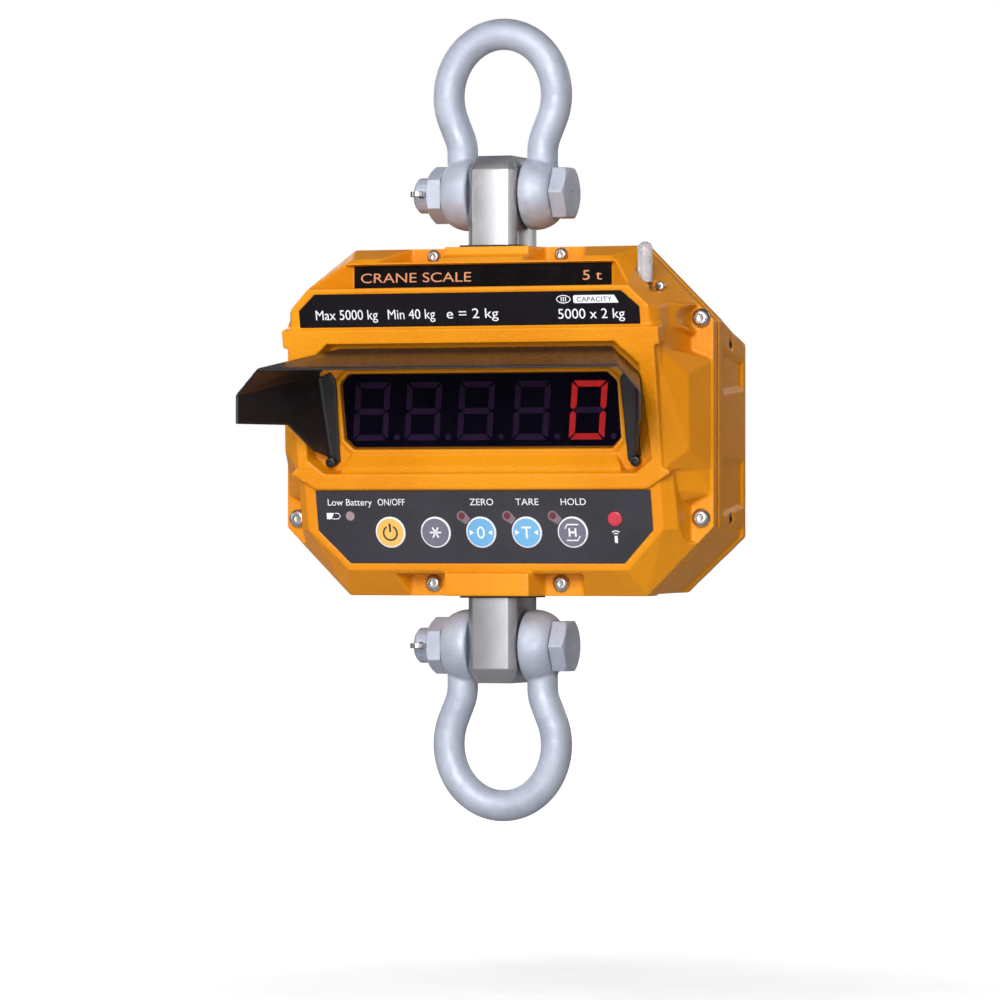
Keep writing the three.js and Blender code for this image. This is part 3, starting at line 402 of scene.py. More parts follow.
def black_coat(name, base):
    """Satin black powder coat with a fine even grain and dusty, faintly brown patches."""
    p = Paint(name, Specular_IOR_Level=0.45)
    dust = p.spread(p.noise(22, 5, 0.65), 0.42, 0.75, 0, 0.5)
    shade = p.blend(dust, base, tuple(c * 1.7 + 0.003 for c in base))
    specks = p.spread(p.noise(1800, 2, 0.6), 0.62, 0.8, 0, 0.4)
    shade = p.blend(specks, shade, tuple(c * 2.4 for c in base))
    # greyer edges: partly wear, partly a painted highlight along the edges
    dark_edge_wear_and_highlight = p.sums(p.spread(p.edges(), 0.53, 0.62), p.spread(p.noise(90, 4), 0.4, 0.7), "MULTIPLY")
    shade = p.blend(p.sums(dark_edge_wear_and_highlight, 0.4, "MULTIPLY"), shade, (0.12, 0.11, 0.11))
    p.colour(shade)
    p.rough(p.spread(p.noise(300, 3), 0.3, 0.7, 0.28, 0.4))
    p.bump((p.noise(1100, 3, 0.6), 0.2, 0.15), (p.noise(40, 2), 0.1, 0.5))
    return p.material


def moulded(name, dark, light, low, high, **sockets):
    """Moulded rubber or plastic: two close shades, a fine skin and a roughness from low to high."""
    p = Paint(name, **sockets)
    base = p.blend(p.spread(p.noise(55, 4), 0.3, 0.7), dark, light)
    specks = p.spread(p.noise(1200, 2), 0.55, 0.8, 0, 0.35)
    base = p.blend(specks, base, tuple(min(1, c * 1.5) for c in light))
    p.colour(base)
    p.rough(p.spread(p.noise(180, 3), 0.3, 0.7, low, high))
    p.bump((p.noise(600, 3), 0.15, 0.1))
    return p.material


def film(name, dark, light, low=0.26, high=0.4, shine=0.3):
    """Printed polyester film: an even shade with a fine velvet skin and light scuffs."""
    p = Paint(name, Specular_IOR_Level=shine)
    base = p.blend(p.spread(p.noise(18, 3), 0.3, 0.7), dark, light)
    scuffs = p.spread(p.noise(240, 5, 0.7, p.stretched(0.25, 1, 1)), 0.66, 0.8, 0, 0.25)
    base = p.blend(scuffs, base, tuple(min(1, c * 1.6 + 0.01) for c in light))
    p.colour(base)
    p.rough(p.spread(p.noise(90, 3), 0.3, 0.7, low, high))
    p.bump((p.noise(1600, 2), 0.1, 0.05))
    return p.material


def ink(name, colour, **sockets):
    """Screen-printed ink: slightly uneven cover."""
    p = Paint(name, **sockets)
    thin = p.spread(p.noise(900, 3), 0.55, 0.85, 0, 0.25)
    p.colour(p.blend(thin, colour, tuple(0.72 * c for c in colour)))
    p.rough(p.spread(p.noise(500, 2), 0.3, 0.7, 0.35, 0.5))
    p.bump((p.noise(1500, 2), 0.08, 0.04))
    return p.material


def smoked_glass():
    """Dark acrylic that shows the segments behind it."""
    p = Paint("smoked_acrylic", Specular_IOR_Level=0.06, Alpha=0.45)
    p.colour(p.blend(p.spread(p.noise(30, 3), 0.3, 0.7), (0.0020, 0.0014, 0.007), (0.0035, 0.0024, 0.010)))
    p.rough(p.spread(p.noise(120, 3), 0.4, 0.8, 0.02, 0.06))
    p.bump((p.noise(35, 2), 0.03, 0.2))
    return p.material


def clear_sleeve():
    """Slightly clouded clear vinyl."""
    p = Paint("clear_vinyl", IOR=1.45, Transmission_Weight=0.62)
    p.colour(p.blend(p.spread(p.noise(80, 4), 0.3, 0.7), (0.86, 0.88, 0.93), (0.74, 0.77, 0.85)))
    p.rough(p.spread(p.noise(200, 3), 0.3, 0.7, 0.12, 0.3))
    p.bump((p.noise(160, 2, 0.5, p.stretched(1, 1, 0.2)), 0.3, 0.3))
    return p.material


def lit_segment():
    """Glowing red plastic of a lit display segment."""
    p = Paint("lit_segment", Emission_Strength=1.5)
    glow = p.blend(p.spread(p.noise(300, 2), 0.3, 0.7), (0.95, 0.035, 0.03), (0.75, 0.02, 0.02))
    p.colour((0.2, 0.01, 0.01))
    p.feed(p.shader.inputs["Emission Color"], glow)
    p.rough(p.spread(p.noise(200, 2), 0.3, 0.7, 0.3, 0.45))
    return p.material


def circuit_board():
    """Green solder mask with lighter tracks."""
    p = Paint("solder_mask", Coat_Weight=0.3)
    tracks = p.spread(p.noise(260, 1, 0.4, p.stretched(0.25, 1, 1)), 0.52, 0.56)
    base = p.blend(tracks, (0.012, 0.09, 0.035), (0.03, 0.20, 0.07))
    p.colour(base)
    p.rough(p.spread(p.noise(300, 3), 0.3, 0.7, 0.25, 0.4))
    p.bump((tracks, 0.3, 0.05))
    return p.material


ORANGE = powder_coat()
ZINC = galvanised()
NICKEL = nickel_plate()
STEEL = stainless("bright_stainless", (0.60, 0.57, 0.55), 0.2, 0.36)
PLATED = stainless("dull_plated_steel", (0.58, 0.58, 0.60), 0.3, 0.48)
HOOD = black_coat("black_powder_coat", (0.014, 0.0112, 0.0122))
BLACK_OXIDE = stainless("black_oxide", (0.07, 0.068, 0.07), 0.3, 0.45)
RUBBER = moulded("seal_rubber", (0.012, 0.012, 0.013), (0.025, 0.024, 0.026), 0.6, 0.8)
MODULE = moulded("display_module", (0.004, 0.004, 0.006), (0.008, 0.007, 0.011), 0.45, 0.6)
PACK = moulded("battery_wrap", (0.03, 0.08, 0.2), (0.05, 0.12, 0.28), 0.25, 0.4)
KEYPAD = film("keypad_film", (0.036, 0.034, 0.042), (0.046, 0.043, 0.053), shine=0.22)
LABEL = film("label_film", (0.007, 0.0055, 0.008), (0.010, 0.008, 0.011), 0.2, 0.34, 0.1)
STRIP = film("name_film", (0.003, 0.002, 0.0022), (0.005, 0.0035, 0.004), 0.2, 0.34, 0.08)
TAN = film("tan_film", (0.80, 0.46, 0.105), (0.86, 0.52, 0.14))
GREY = film("grey_film", (0.150, 0.142, 0.195), (0.175, 0.168, 0.225))
BLUE = film("blue_film", (0.14, 0.38, 0.66), (0.18, 0.44, 0.72))
WHITE = ink("white_ink", (0.86, 0.86, 0.90))
DARK = ink("dark_ink", (0.030, 0.022, 0.020))
BRONZE = ink("bronze_ink", (0.62, 0.27, 0.13), Metallic=0.5)
TAB = ink("tab_ink", (0.21, 0.15, 0.18))
LED_OFF = ink("unlit_led", (0.14, 0.022, 0.032))
LED_PALE = ink("unlit_battery_led", (0.33, 0.24, 0.25))
GHOST = ink("unlit_segment", (0.190, 0.086, 0.270), Specular_IOR_Level=0.0)
FILTER = moulded("display_filter", (0.0035, 0.0028, 0.0075), (0.0045, 0.0036, 0.0095), 0.8, 0.95,
                 Specular_IOR_Level=0.0)
GLASS = smoked_glass()
LIT = lit_segment()
LENS = moulded("red_lens", (0.50, 0.030, 0.060), (0.62, 0.045, 0.080), 0.12, 0.25)
SLEEVE = clear_sleeve()
BOARD = circuit_board()

# CAD nodes that are shown as they are
for node, material in {
    "gauge_cover_right": STEEL, "gauge_cover_left": STEEL, "upper_cell_seal": RUBBER, "lower_cell_seal": RUBBER,
    "gasket_right": RUBBER, "gasket_left": RUBBER, "name_strip": STRIP, "capacity_label": LABEL,
    "display_window": GLASS, "display_module": MODULE, "keypad_overlay": KEYPAD, "key_board": BOARD,
    "battery_pack": PACK, "door_hinge_pin": STEEL, "upper_cell_clamp": PLATED, "lower_cell_clamp": PLATED,
    "main_board": BOARD, "seal_wire": STEEL,
}.items():
    for place in frame["nodes"][node].material_slots:
        place.material = material


# ---- castings and sheet metal ----
soft_piece("front_cover", ORANGE, 1.0, 3)
soft_piece("rear_housing", ORANGE, 1.1, 3)
soft_piece("battery_door", ORANGE, 0.8, 4)
soft_piece("display_hood", HOOD, 0.7, 8)
crisp_piece("load_cell", NICKEL, 0.9)


# ---- shackles ----
CROWN_STEPS, BEND_STEPS, BAR_SIDES = 48, 8, 32
BAR_RADIUS, LEG_THINNER = 11.0, 0.25
TAPER_FROM, TAPER_LENGTH = 40, 35
EAR_PROFILE = ((12.9, 19.0), (23.6, 19.0), (25.0, 20.8), (25.5, 24), (25.4, 27), (24.9, 30), (23.9, 33),
               (22.6, 35.8), (20.9, 38.3), (18.9, 40.2), (12.9, 40.2))


def bow_half():
    """Centre line of one half of the bow, as (x, z): oval crown, leaning stretch and bend to the straight leg."""
    half_width, half_height, centre = 40.0, 43.0, -32.0
    lean, bend, leg_x, leg_end = math.radians(22), 28.0, 29.75, -83.0
    last = -math.atan(math.tan(lean) * half_height / half_width)
    rows = []
    for i in range(CROWN_STEPS + 1):
        angle = math.pi / 2 + (last - math.pi / 2) * i / CROWN_STEPS
        rows.append((half_width * math.cos(angle), centre + half_height * math.sin(angle)))
    bend_x = leg_x + bend * (1 - math.cos(lean))
    bend_z = rows[-1][1] - (rows[-1][0] - bend_x) / math.tan(lean)
    for i in range(BEND_STEPS + 1):
        angle = lean * (1 - i / BEND_STEPS)
        rows.append((leg_x + bend * (1 - math.cos(angle)), bend_z - bend * (math.sin(lean) - math.sin(angle))))
    rows.append((leg_x, (rows[-1][1] + leg_end) / 2))
    rows.append((leg_x, leg_end))
    return rows


def bow_line():
    """Rows of (x, z, sideways x, sideways z, radius) from ear to ear."""
    half = bow_half()
    line = [Vector(p) for p in reversed(half[1:])] + [Vector((-x, z)) for x, z in half]
    rows = []
    for i, point in enumerate(line):
        tangent = (line[min(i + 1, len(line) - 1)] - line[max(i - 1, 0)]).normalized()
        taper = min(1.0, max(0.0, (-point.y - TAPER_FROM) / TAPER_LENGTH))
        rows.append((point.x, point.y, tangent.y, -tangent.x, BAR_RADIUS - LEG_THINNER * taper))
    return rows


def bow_mesh(upright):
    """Forged bow with its ears, their faces pressed flat; upside down in the lower seat unless upright."""
    bm = bmesh.new()
    rings = []
    for x, z, nx, nz, radius in bow_line():
        ring = []
        for k in range(BAR_SIDES):
            angle = 2 * math.pi * k / BAR_SIDES
            c, s = radius * math.cos(angle), radius * math.sin(angle)
            ring.append(bm.verts.new((x + c * nx, s, z + c * nz)))
        rings.append(ring)
    for a, b in zip(rings, rings[1:]):
        for k in range(BAR_SIDES):
            j = (k + 1) % BAR_SIDES
            bm.faces.new([a[k], a[j], b[j], b[k]])
    bm.faces.new(rings[0])
    bm.faces.new(list(reversed(rings[-1])))
    for side in SIDES:
        lathe(bm, [(r, side * h) for r, h in EAR_PROFILE], "x", 56, (0, 0, UPPER_PIN), closed=True)
    bmesh.ops.recalc_face_normals(bm, faces=bm.faces)
    mesh = bpy.data.meshes.new("bow")
    bm.to_mesh(mesh)
    bm.free()
    mesh.transform(Matrix.Scale(MM, 4))
    made = soften(mesh, 0.9, 9)
    for vertex in made.vertices:
        x, y, z = (c / MM for c in vertex.co)
        if z < EARS_FROM:
            x = math.copysign(max(abs(x), EAR_INNER), x)
        if math.hypot(y, z - UPPER_PIN) < EAR_FLAT_RADIUS:
            x = math.copysign(min(abs(x), EAR_OUTER), x)
        if not upright:
            z = LOWER_SEAT - z
        vertex.co = (x * MM, y * MM, z * MM)
    if not upright:
        made.flip_normals()
    return made


for prefix in ("upper", "lower"):
    node = prefix + "_shackle_bow"
    adopt(node + "_forged", bow_mesh(prefix == "upper"), prefix + "_shackle", [ZINC], [node],
          SMOOTH_ALL)
    soft_piece(prefix + "_shackle_bolt", ZINC, 0.6, 4)
    soft_piece(prefix + "_shackle_nut", ZINC, 0.5, 3)
    soft_piece(prefix + "_cotter_pin", STEEL, 0.3, 3)


# ---- screws ----
FLANGE_FRONT = -10.3


def turned_piece(node, ending, profile, axis, at, material, matrix=UPRIGHT, segments=48):
    """Turned copy of a CAD node on the housing."""
    bm = bmesh.new()
    lathe(bm, profile, axis, segments, at)
    new_piece(node + ending, bm, "housing", [material], [node], matrix)


def button_screw(node, x, z, radius):
    """Socket button-head screw in front of the cover's flange."""
    foot = FLANGE_FRONT
    high = radius * 0.62
    flat = radius * 0.36
    profile = [(0, 11), (2.6, 11), (3, 10.4), (3, foot), (radius * 0.97, foot), (radius, foot - high * 0.08),
               (radius, foot - high * 0.24), (radius * 0.95, foot - high * 0.45),
               (radius * 0.86, foot - high * 0.68), (radius * 0.74, foot - high * 0.87),
               (radius * 0.6, foot - high * 0.98), (radius * 0.54, foot - high),
               (flat * 1.08, foot - high, "hex"), (flat, foot - high + 0.3, "hex"),
               (flat, foot - high + 2.2, "hex"), (0, foot - high + 2.6)]
    turned_piece(node, "_head", profile, "y", (x, 0, z), STEEL)


for name, x, z, radius in (
    ("top_left", -47.3, -144.6, 5), ("top_right", 47.3, -144.6, 5),
    ("right_upper", 149.6, -189.9, 6.7), ("right_lower", 149.6, -327.8, 6.7),
    ("bottom_right", 47.3, -373.2, 6.2), ("bottom_left", -47.3, -373.2, 6.2),
    ("left_lower", -149.6, -327.8, 6.7), ("left_upper", -149.6, -189.9, 6.7),
):
    button_screw("cover_screw_" + name, x, z, radius)

HOOD_SEAT = 9.2 - 1.8 - 0.6
HOOD_SCREW = [(0, HOOD_SEAT + 12), (2, HOOD_SEAT + 12), (2, HOOD_SEAT), (3.5, HOOD_SEAT), (3.6, HOOD_SEAT - 0.3),
              (3.6, HOOD_SEAT - 2.6), (3.4, HOOD_SEAT - 3.0), (3.0, HOOD_SEAT - 3.2),
              (1.75, HOOD_SEAT - 3.2, "hex"), (1.6, HOOD_SEAT - 3.0, "hex"), (1.6, HOOD_SEAT - 1.6, "hex"),
              (0, HOOD_SEAT - 1.3)]
SIDE_SCREW = [(0, 147), (1.5, 147), (1.5, 155.5), (3.1, 155.5), (3.2, 155.7), (3.2, 157.1), (3.0, 157.6),
              (2.5, 157.9), (1.3, 157.9, "hex"), (1.2, 157.7, "hex"), (1.2, 156.6, "hex"), (0, 156.4)]
CLAMP_SCREW = [(0, 36), (3, 36), (3, 64.3), (5.3, 64.3), (5.5, 64.5), (5.5, 66.2), (5.1, 67.0), (4.3, 67.6),
               (3.4, 67.6), (2.05, 67.6, "hex"), (1.9, 67.4, "hex"), (1.9, 65.6, "hex"), (0, 65.4)]

for side, name in ((-1, "left"), (1, "right")):
    turned_piece("hood_screw_" + name, "_head", HOOD_SCREW, "y", (side * 112.5, 0, -35.8),
                 BLACK_OXIDE, FACE)
    for level, z in (("upper", -206.5), ("lower", -328)):
        profile = [(r, side * h, *kind) for r, h, *kind in SIDE_SCREW]
        turned_piece("side_screw_%s_%s" % (name, level), "_head", profile, "x", (0, 31, z),
                     BLACK_OXIDE)
    for prefix, z in (("upper", -184), ("lower", -337)):
        turned_piece("%s_cell_clamp_screw_%s" % (prefix, name), "_head", CLAMP_SCREW, "y", (side * 20, 0, z),
                     STEEL)
    crisp_piece("thumb_screw_" + name, STEEL, 0.4, 30)

SEAL_SCREW = [(0, -29.5), (1.5, -29.5), (1.5, -34.8), (3.3, -34.8), (3.4, -35), (3.4, -36.2), (3.0, -36.9),
              (2.2, -37.3), (1.2, -37.3), (0.9, -36.6), (0, -36.5)]
turned_piece("seal_screw", "_head", SEAL_SCREW, "y", (128.2, 0, -168.5), STEEL, segments=40)

# clear sleeve: rounded foot, then a domed top
SLEEVE_RADIUS, FOOT_RADIUS, FOOT_Z, DOME_Z = 5.2, 0.5, -165.5, -143.2
sleeve = [(0, -166)] + [(SLEEVE_RADIUS - FOOT_RADIUS * (1 - math.sin(t)), FOOT_Z - FOOT_RADIUS * math.cos(t))
                        for t in (math.pi * k / 8 for k in range(5))]
sleeve += [(SLEEVE_RADIUS * math.cos(t), DOME_Z + SLEEVE_RADIUS * math.sin(t))
           for t in (math.pi * k / 20 for k in range(10))]
sleeve += [(0, -138)]
bm = bmesh.new()
lathe(bm, sleeve, "z", 40, (119.4, -42, 0))
new_piece("seal_sleeve_tube", bm, "housing", [SLEEVE], ["seal_sleeve"], smooth=70)

LENS_DOME = [(0, 6), (5.2, 6), (5.2, -0.2), (5.0, -0.45), (4.5, -0.6), (3, -0.75), (0, -0.8)]
turned_piece("receiver_lens", "_dome", LENS_DOME, "y", (96.5, 0, -75.3), LENS, FACE)


# ---- graphics: depths are along the face's normal, smaller ones further out ----
FRONT, BACK = -0.06, 0.02
KEY_FRONT, KEY_BACK = -0.95, -0.85
LABEL_FRONT, LABEL_BACK = 0.04, 0.12
INK_THICKNESS = 0.05
CAPITAL_HEIGHT = 0.729     # of the built-in font, in its own units


def print_piece(name, bm, material, body="housing", matrix=FACE):
    return new_piece(name, bm, body, [material], (), matrix, smooth=0)


def lettering(name, text, x0, x1, base, height, depth, material, matrix=FACE):
    """Printed text that fills x0 to x1, with capitals that stand that high above base."""
    font = bpy.data.curves.new(name, "FONT")
    font.body = text
    font.resolution_u = 6
    helper = bpy.data.objects.new("helper", font)
    SCENE.collection.objects.link(helper)
    graph = bpy.context.evaluated_depsgraph_get()
    flat = bpy.data.meshes.new_from_object(helper.evaluated_get(graph))
    bpy.data.objects.remove(helper)
    bm = bmesh.new()
    bm.from_mesh(flat)
    bmesh.ops.remove_doubles(bm, verts=bm.verts, dist=1e-5)
    low = min(v.co.x for v in bm.verts)
    high = max(v.co.x for v in bm.verts)
    for v in bm.verts:
        across = x0 + (v.co.x - low) / (high - low) * (x1 - x0)
        v.co = (across, depth, base + v.co.y / CAPITAL_HEIGHT * height)
    made = bmesh.ops.extrude_face_region(bm, geom=bm.faces[:])
    for v in made["geom"]:
        if isinstance(v, bmesh.types.BMVert):
            v.co.y -= INK_THICKNESS
    return print_piece(name, bm, material, matrix=matrix)


def thick_line(bm, points, width, front, back):
    """A straight or bent stroke of even width."""
    left, right = [], []
    for i, (x, v) in enumerate(points):
        before = Vector(points[max(i - 1, 0)])
        after = Vector(points[min(i + 1, len(points) - 1)])
        tangent = (after - before).normalized()
        side = Vector((-tangent.y, tangent.x)) * width / 2
        left.append((x + side.x, v + side.y))
        right.append((x - side.x, v - side.y))
    band(bm, left, right, front, back)


def key_x(index):
    return KEY_FIRST + KEY_PITCH * index


def key_cap(node, index, material):
    """Domed key with a white rim; its print is a piece of its own."""
    bm = bmesh.new()
    lathe(bm, [(0, 6), (3.8, 6), (4, 5.8), (4, 1), (KEY_RADIUS - 0.2, 1), (KEY_RADIUS, 0.8), (KEY_RADIUS, -0.2),
               (KEY_RADIUS - 0.15, -0.5), (KEY_RADIUS - 0.5, -0.74), (KEY_RADIUS - 1.1, -0.84),
               (KEY_RADIUS - 3, -0.88), (0, -0.9)], "y", 64, (key_x(index), 0, KEY_V),
          [0, 0, 0, 0, 1, 1, 1, 1, 1, 0, 0])
    return new_piece(node + "_cap", bm, node, [material, WHITE], [node], FACE)


KEY_LOOKS = (("key_yellow", TAN), ("key_grey", GREY), ("key_blue", BLUE), ("key_blue", BLUE),
             ("key_grey", GREY))
for index, (node, (slot, material)) in enumerate(zip(KEYS, KEY_LOOKS)):
    key_cap(node, index, material)


def key_print(name, index, build, material):
    """A key's symbol, which moves with the key."""
    bm = bmesh.new()
    build(bm, key_x(index), KEY_V)
    return print_piece(name, bm, material, KEYS[index])


def power_icon(bm, x, v):
    band(bm, circle(x, v - 0.4, 5.6, 40, 118, 422), circle(x, v - 0.4, 4.4, 40, 118, 422), KEY_FRONT, KEY_BACK)
    thick_line(bm, [(x, v + 0.4), (x, v + 6.4)], 1.5, KEY_FRONT, KEY_BACK)


def star_icon(bm, x, v):
    for turn in (0, 60, 120):
        c, s = 4.2 * math.cos(math.radians(turn)), 4.2 * math.sin(math.radians(turn))
        thick_line(bm, [(x - c, v - s), (x + c, v + s)], 1.1, KEY_FRONT, KEY_BACK)


def arrows(bm, x, v):
    for side in SIDES:
        slab(bm, [(x + side * 8.4, v - 1.9), (x + side * 8.4, v + 1.9), (x + side * 5.2, v)],
             KEY_FRONT, KEY_BACK)


def zero_icon(bm, x, v):
    arrows(bm, x, v)
    band(bm, oval(x, v, 2.9, 4.3), oval(x, v, 1.7, 3.1), KEY_FRONT, KEY_BACK, closed=True)


def tare_icon(bm, x, v):
    arrows(bm, x, v)
    slab(bm, [(x - 3.6, v + 4.2), (x - 3.6, v + 2.9), (x - 0.7, v + 2.9), (x - 0.7, v - 4.2), (x + 0.7, v - 4.2),
              (x + 0.7, v + 2.9), (x + 3.6, v + 2.9), (x + 3.6, v + 4.2)], KEY_FRONT, KEY_BACK)


def hold_icon(bm, x, v):
    slab(bm, [(x - 2.9, v + 3), (x - 2.9, v - 3), (x - 1.6, v - 3), (x - 1.6, v - 0.6), (x + 1.6, v - 0.6),
              (x + 1.6, v - 3), (x + 2.9, v - 3), (x + 2.9, v + 3), (x + 1.6, v + 3), (x + 1.6, v + 0.7),
              (x - 1.6, v + 0.7), (x - 1.6, v + 3)], KEY_FRONT, KEY_BACK)
    for side in SIDES:
        bracket = [(x - side * 5.4, v + side * 2.6), (x - side * 3.6, v + side * 5.6),
                   (x + side * 4.6, v + side * 5.6)]
        thick_line(bm, bracket, 0.9, KEY_FRONT, KEY_BACK)


key_print("power_print", 0, power_icon, DARK)
key_print("star_print", 1, star_icon, WHITE)
key_print("zero_print", 2, zero_icon, WHITE)
key_print("tare_print", 3, tare_icon, WHITE)
key_print("hold_print", 4, hold_icon, WHITE)

LEGEND_BASE, LEGEND_HEIGHT = -65.4, 4.9
for name, text, x0, x1 in (
    ("low_battery_text", "Low Battery", -115, -82), ("on_off_text", "ON/OFF", -77.6, -57.4),
    ("zero_text", "ZERO", -9.2, 8.2), ("tare_text", "TARE", 24.6, 41.6), ("hold_text", "HOLD", 57.8, 76.2),
):
    lettering(name, text, x0, x1, LEGEND_BASE, LEGEND_HEIGHT, FRONT + INK_THICKNESS, WHITE)

LAMP_V = -73
TAB_RADIUS, TAB_HALF_END, TAB_TO_KEY, LAMP_RADIUS = 3.6, 2.6, 0.8, 2.5


def tab_with_led(name, x, v, key_index):
    """Small window beside a key: a rounded tab that runs to the key, with its lamp."""
    bm = bmesh.new()
    centre = Vector((key_x(key_index), KEY_V))
    here = Vector((x, v))
    toward = (centre - here).normalized()
    side = Vector((-toward.y, toward.x))
    start = math.atan2(side.y, side.x)
    arc = [here + TAB_RADIUS * Vector((math.cos(start + t), math.sin(start + t)))
           for t in (math.pi * k / 16 for k in range(17))]
    reach = (centre - here).length - KEY_RADIUS - TAB_TO_KEY
    ends = [here + toward * reach - side * TAB_HALF_END, here + toward * reach + side * TAB_HALF_END]
    slab(bm, [tuple(p) for p in arc + ends], FRONT + 0.02, BACK)
    print_piece(name, bm, TAB)
    bm = bmesh.new()
    slab(bm, circle(x, v, LAMP_RADIUS), FRONT - 0.02, BACK)
    print_piece(name + "_lamp", bm, LED_OFF)


for index, x in ((2, -15.9), (3, 17.7), (4, 51.2)):
    tab_with_led("tab_%d" % index, x, LAMP_V, index)

bm = bmesh.new()
slab(bm, circle(-99, LAMP_V, 3.3), FRONT, BACK)
print_piece("battery_lamp", bm, LED_PALE)

bm = bmesh.new()
slab(bm, [(-116.6, -75.2), (-113.2, -75.2), (-110.9, -70.8), (-116.6, -70.8)], FRONT, BACK)
thick_line(bm, [(-112.4, -75.0), (-107.8, -75.0), (-106.4, -73), (-107.8, -71.0), (-110.2, -71.0)], 0.6,
           FRONT, BACK)
print_piece("battery_icon", bm, WHITE)

bm = bmesh.new()
slab(bm, [(95.4, -92.2), (97.6, -92.2), (97.6, -87.2), (95.4, -87.2)], FRONT, BACK)
for radius in (2.4, 4.1):
    band(bm, circle(96.5, -87.4, radius, 14, 45, 135), circle(96.5, -87.4, radius - 0.7, 14, 45, 135),
         FRONT, BACK)
print_piece("remote_icon", bm, WHITE)

LABEL_TEXT_HEIGHT = 7.2
for name, text, x0, x1, base in (
    ("capacity_max", "Max 5000 kg", -112.6, -66.5, 66.4), ("capacity_min", "Min 40 kg", -59.0, -24.0, 66.4),
    ("capacity_step", "e = 2 kg", -15.5, 22.5, 66.4), ("capacity_range", "5000 x 2 kg", 66.0, 114.2, 65.2),
):
    lettering(name, text, x0, x1, base, LABEL_TEXT_HEIGHT, LABEL_FRONT + INK_THICKNESS, WHITE)
bm = bmesh.new()
slab(bm, [(78.5, 75.9), (110.5, 75.9), (107.4, 81.4), (78.5, 81.4), (77.7, 80.6), (77.7, 76.7)],
     LABEL_FRONT, LABEL_BACK)
print_piece("capacity_pill", bm, WHITE)
lettering("capacity_word", "CAPACITY", 80.2, 105.6, 76.9, 3.4, LABEL_FRONT - 0.01, LABEL)
bm = bmesh.new()
band(bm, oval(70.6, 78.7, 5.2, 2.9), oval(70.6, 78.7, 4.6, 2.3), LABEL_FRONT, LABEL_BACK, closed=True)
for x in (69.0, 70.6, 72.2):
    slab(bm, [(x - 0.35, 77.2), (x + 0.35, 77.2), (x + 0.35, 80.2), (x - 0.35, 80.2)], LABEL_FRONT, LABEL_BACK)
print_piece("class_mark", bm, WHITE)

STRIP_FRONT, STRIP_BASE, STRIP_TEXT_HEIGHT = -41.9, -163.6, 7.0
for name, text, x0, x1 in (("strip_words", "CRANE SCALE", -90, -8), ("strip_capacity", "5 t", 74, 88)):
    lettering(name, text, x0, x1, STRIP_BASE, STRIP_TEXT_HEIGHT, STRIP_FRONT + 0.02, BRONZE, UPRIGHT)


# ---- display digits, just behind the window ----
DIGIT_CENTRES = (-80.9, -42.5, -3.5, 37.5, 78.8)
DIGIT = {"half": 13.0, "top": 19.8, "bottom": -21.6, "bar": 4.3, "gap": 0.55, "slant": 0.14}
DIGIT_FRONT, DIGIT_BACK = 11.2, 11.35
FILTER_FRONT, FILTER_BACK = 11.36, 11.46
MIDDLE_BAR = 6             # place of the middle bar in segment_outlines


def segment_outlines(centre):
    """The seven segments' outlines: top bar, right-hand pair, left-hand pair, bottom bar and middle bar."""
    half, top, bottom, bar, gap = (DIGIT[k] for k in ("half", "top", "bottom", "bar", "gap"))
    middle = (top + bottom) / 2
    tip = 1.3 * 0.6
    shoulder = bar * 0.35

    def level(v, inner):
        return [(-half + gap + tip, v), (half - gap - tip, v), (half - bar - gap, inner),
                (-half + bar + gap, inner)]

    shapes = [level(top, top - bar)]
    for side in (1, -1):
        shapes.append([(side * half, top - gap - tip), (side * (half - bar), top - bar - gap),
                       (side * (half - bar), middle + bar / 2 + gap), (side * (half - bar / 2), middle + gap),
                       (side * half, middle + gap + shoulder)])
        shapes.append([(side * half, bottom + gap + tip), (side * (half - bar), bottom + bar + gap),
                       (side * (half - bar), middle - bar / 2 - gap), (side * (half - bar / 2), middle - gap),
                       (side * half, middle - gap - shoulder)])
    shapes.append(level(bottom, bottom + bar))
    inner = half - bar / 2 - gap
    shapes.append([(-inner, middle), (-inner + bar / 2, middle + bar / 2), (inner - bar / 2, middle + bar / 2),
                   (inner, middle), (inner - bar / 2, middle - bar / 2), (-inner + bar / 2, middle - bar / 2)])
    return [[(centre + x + (v - middle) * DIGIT["slant"], v) for x, v in shape] for shape in shapes]


bm_ghost, bm_lit = bmesh.new(), bmesh.new()
for index, centre in enumerate(DIGIT_CENTRES):
    for number, shape in enumerate(segment_outlines(centre)):
        lit = index == len(DIGIT_CENTRES) - 1 and number != MIDDLE_BAR
        slab(bm_lit if lit else bm_ghost, shape, DIGIT_FRONT, DIGIT_BACK)
    slab(bm_ghost, circle(centre + 17.2, DIGIT["bottom"] + 2.3, 2.2, 24), DIGIT_FRONT, DIGIT_BACK)
bm = bmesh.new()
slab(bm, [(-101.4, -19.8), (-94.6, -26.6), (94.6, -26.6), (101.4, -19.8), (101.4, 19.1), (94.6, 25.9),
          (-94.6, 25.9), (-101.4, 19.1)], FILTER_FRONT, FILTER_BACK)
print_piece("display_filter", bm, FILTER)
print_piece("unlit_segments", bm_ghost, GHOST)
print_piece("lit_segments", bm_lit, LIT)


# ---- floor, light and camera, in metres ----
FLOOR_Z, FLOOR_HALF = -0.66, 30
MIDDLE = (0, 0, -0.26)
CAMERA_TURN, CAMERA_DISTANCE, CAMERA_HEIGHT = 20, 4.2, -0.343


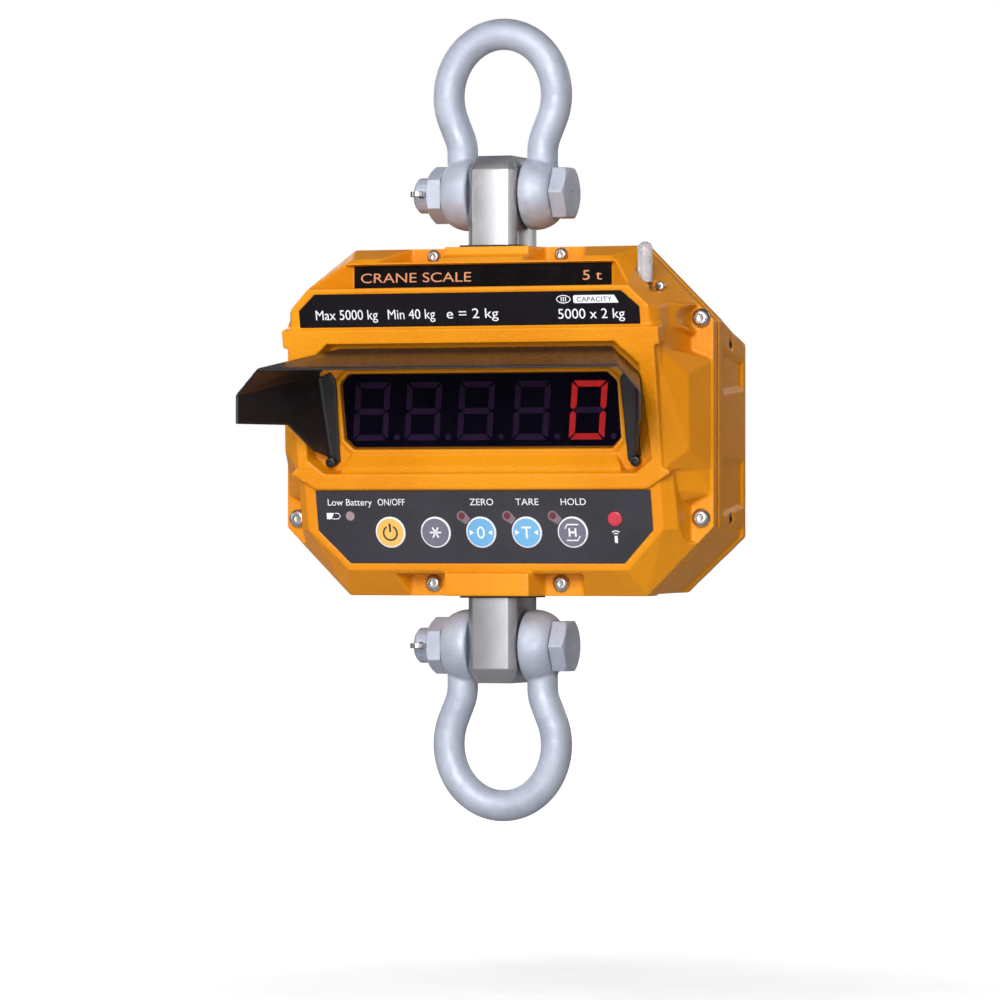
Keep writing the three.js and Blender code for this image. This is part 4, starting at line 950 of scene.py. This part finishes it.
def make_floor():
    """Pale floor that looks lit up to white away from the object, and darker to everything but the camera."""
    p = Paint("pale_floor", Emission_Color=(1, 1, 1, 1))
    seen = p.node("ShaderNodeLightPath").outputs["Is Camera Ray"]
    pale = p.blend(p.spread(p.noise(3, 3), 0.3, 0.7), (0.80, 0.80, 0.81), (0.84, 0.84, 0.85))
    p.colour(p.blend(seen, (0.48, 0.48, 0.49), pale))
    p.rough(p.spread(p.noise(20, 3), 0.3, 0.7, 0.55, 0.7))
    away = p.node("ShaderNodeVectorMath", operation="LENGTH")
    p.feed(away.inputs[0], p.place)
    glow = p.spread(away.outputs["Value"], 0.1, 1.0, 0.42, 1.0)
    p.feed(p.shader.inputs["Emission Strength"], p.sums(glow, seen, "MULTIPLY"))
    bm = bmesh.new()
    bmesh.ops.create_grid(bm, x_segments=8, y_segments=8, size=FLOOR_HALF)
    mesh = bpy.data.meshes.new("floor")
    bm.to_mesh(mesh)
    bm.free()
    mesh.materials.append(p.material)
    floor = bpy.data.objects.new("floor", mesh)
    floor.location.z = FLOOR_Z
    SCENE.collection.objects.link(floor)


def soft_light(name, place, size, watts):
    """Soft box aimed at the middle of the object."""
    data = bpy.data.lights.new(name, "AREA")
    data.shape = "RECTANGLE"
    data.size, data.size_y = size
    data.energy = watts
    lamp = bpy.data.objects.new(name, data)
    lamp.location = place
    lamp.rotation_mode = "QUATERNION"
    lamp.rotation_quaternion = (Vector(MIDDLE) - Vector(place)).to_track_quat("-Z", "Y")
    SCENE.collection.objects.link(lamp)


def studio():
    """Soft boxes and a world that is brighter in front, and white where the camera sees it."""
    soft_light("key", (0.4, -3.1, 0.8), (1.5, 1.2), 78)
    soft_light("low", (0.3, -2.7, -0.46), (1.6, 0.3), 11)
    soft_light("top", (-0.6, -1.3, 1.5), (1.4, 0.8), 3)
    soft_light("left", (-2.2, -1.0, 0.4), (0.6, 1.6), 9)
    soft_light("right", (2.1, -1.4, 0.3), (0.4, 1.6), 5)
    soft_light("back_left", (-1.8, 1.7, 0.6), (1.2, 1.2), 12)
    soft_light("back_right", (1.2, 2.2, 0.6), (1.2, 1.2), 8)
    world = bpy.data.worlds.new("studio")
    world.use_nodes = True
    SCENE.world = world
    tree = world.node_tree
    background = tree.nodes["Background"]
    path = tree.nodes.new("ShaderNodeLightPath")
    place = tree.nodes.new("ShaderNodeTexCoord")
    toward = tree.nodes.new("ShaderNodeVectorMath")
    toward.operation = "DOT_PRODUCT"
    tree.links.new(place.outputs["Generated"], toward.inputs[0])
    toward.inputs[1].default_value = Vector((0.1, -0.98, 0.0)).normalized()
    falloff = tree.nodes.new("ShaderNodeMapRange")
    falloff.interpolation_type = "SMOOTHSTEP"
    tree.links.new(toward.outputs["Value"], falloff.inputs["Value"])
    for key, value in (("From Min", -0.1), ("From Max", 0.95), ("To Min", 0.08), ("To Max", 0.55)):
        falloff.inputs[key].default_value = value
    shade = tree.nodes.new("ShaderNodeMix")
    tree.links.new(path.outputs["Is Camera Ray"], shade.inputs[0])
    tree.links.new(falloff.outputs["Result"], shade.inputs[2])
    shade.inputs[3].default_value = 1.0
    tree.links.new(shade.outputs[0], background.inputs["Strength"])
    background.inputs["Color"].default_value = (1, 1, 1, 1)
    SCENE.view_settings.view_transform = "Standard"


def make_camera():
    data = bpy.data.cameras.new("camera")
    data.lens, data.sensor_width = 216, 36
    data.shift_x, data.shift_y = -0.0026, 0.04
    data.clip_end = 100
    camera = bpy.data.objects.new("camera", data)
    turn = math.radians(CAMERA_TURN)
    camera.location = (CAMERA_DISTANCE * math.sin(turn), -CAMERA_DISTANCE * math.cos(turn), CAMERA_HEIGHT)
    camera.rotation_euler = (math.radians(90), 0, turn)
    SCENE.collection.objects.link(camera)
    SCENE.camera = camera


make_floor()
studio()
make_camera()

bpy.context.view_layer.update()
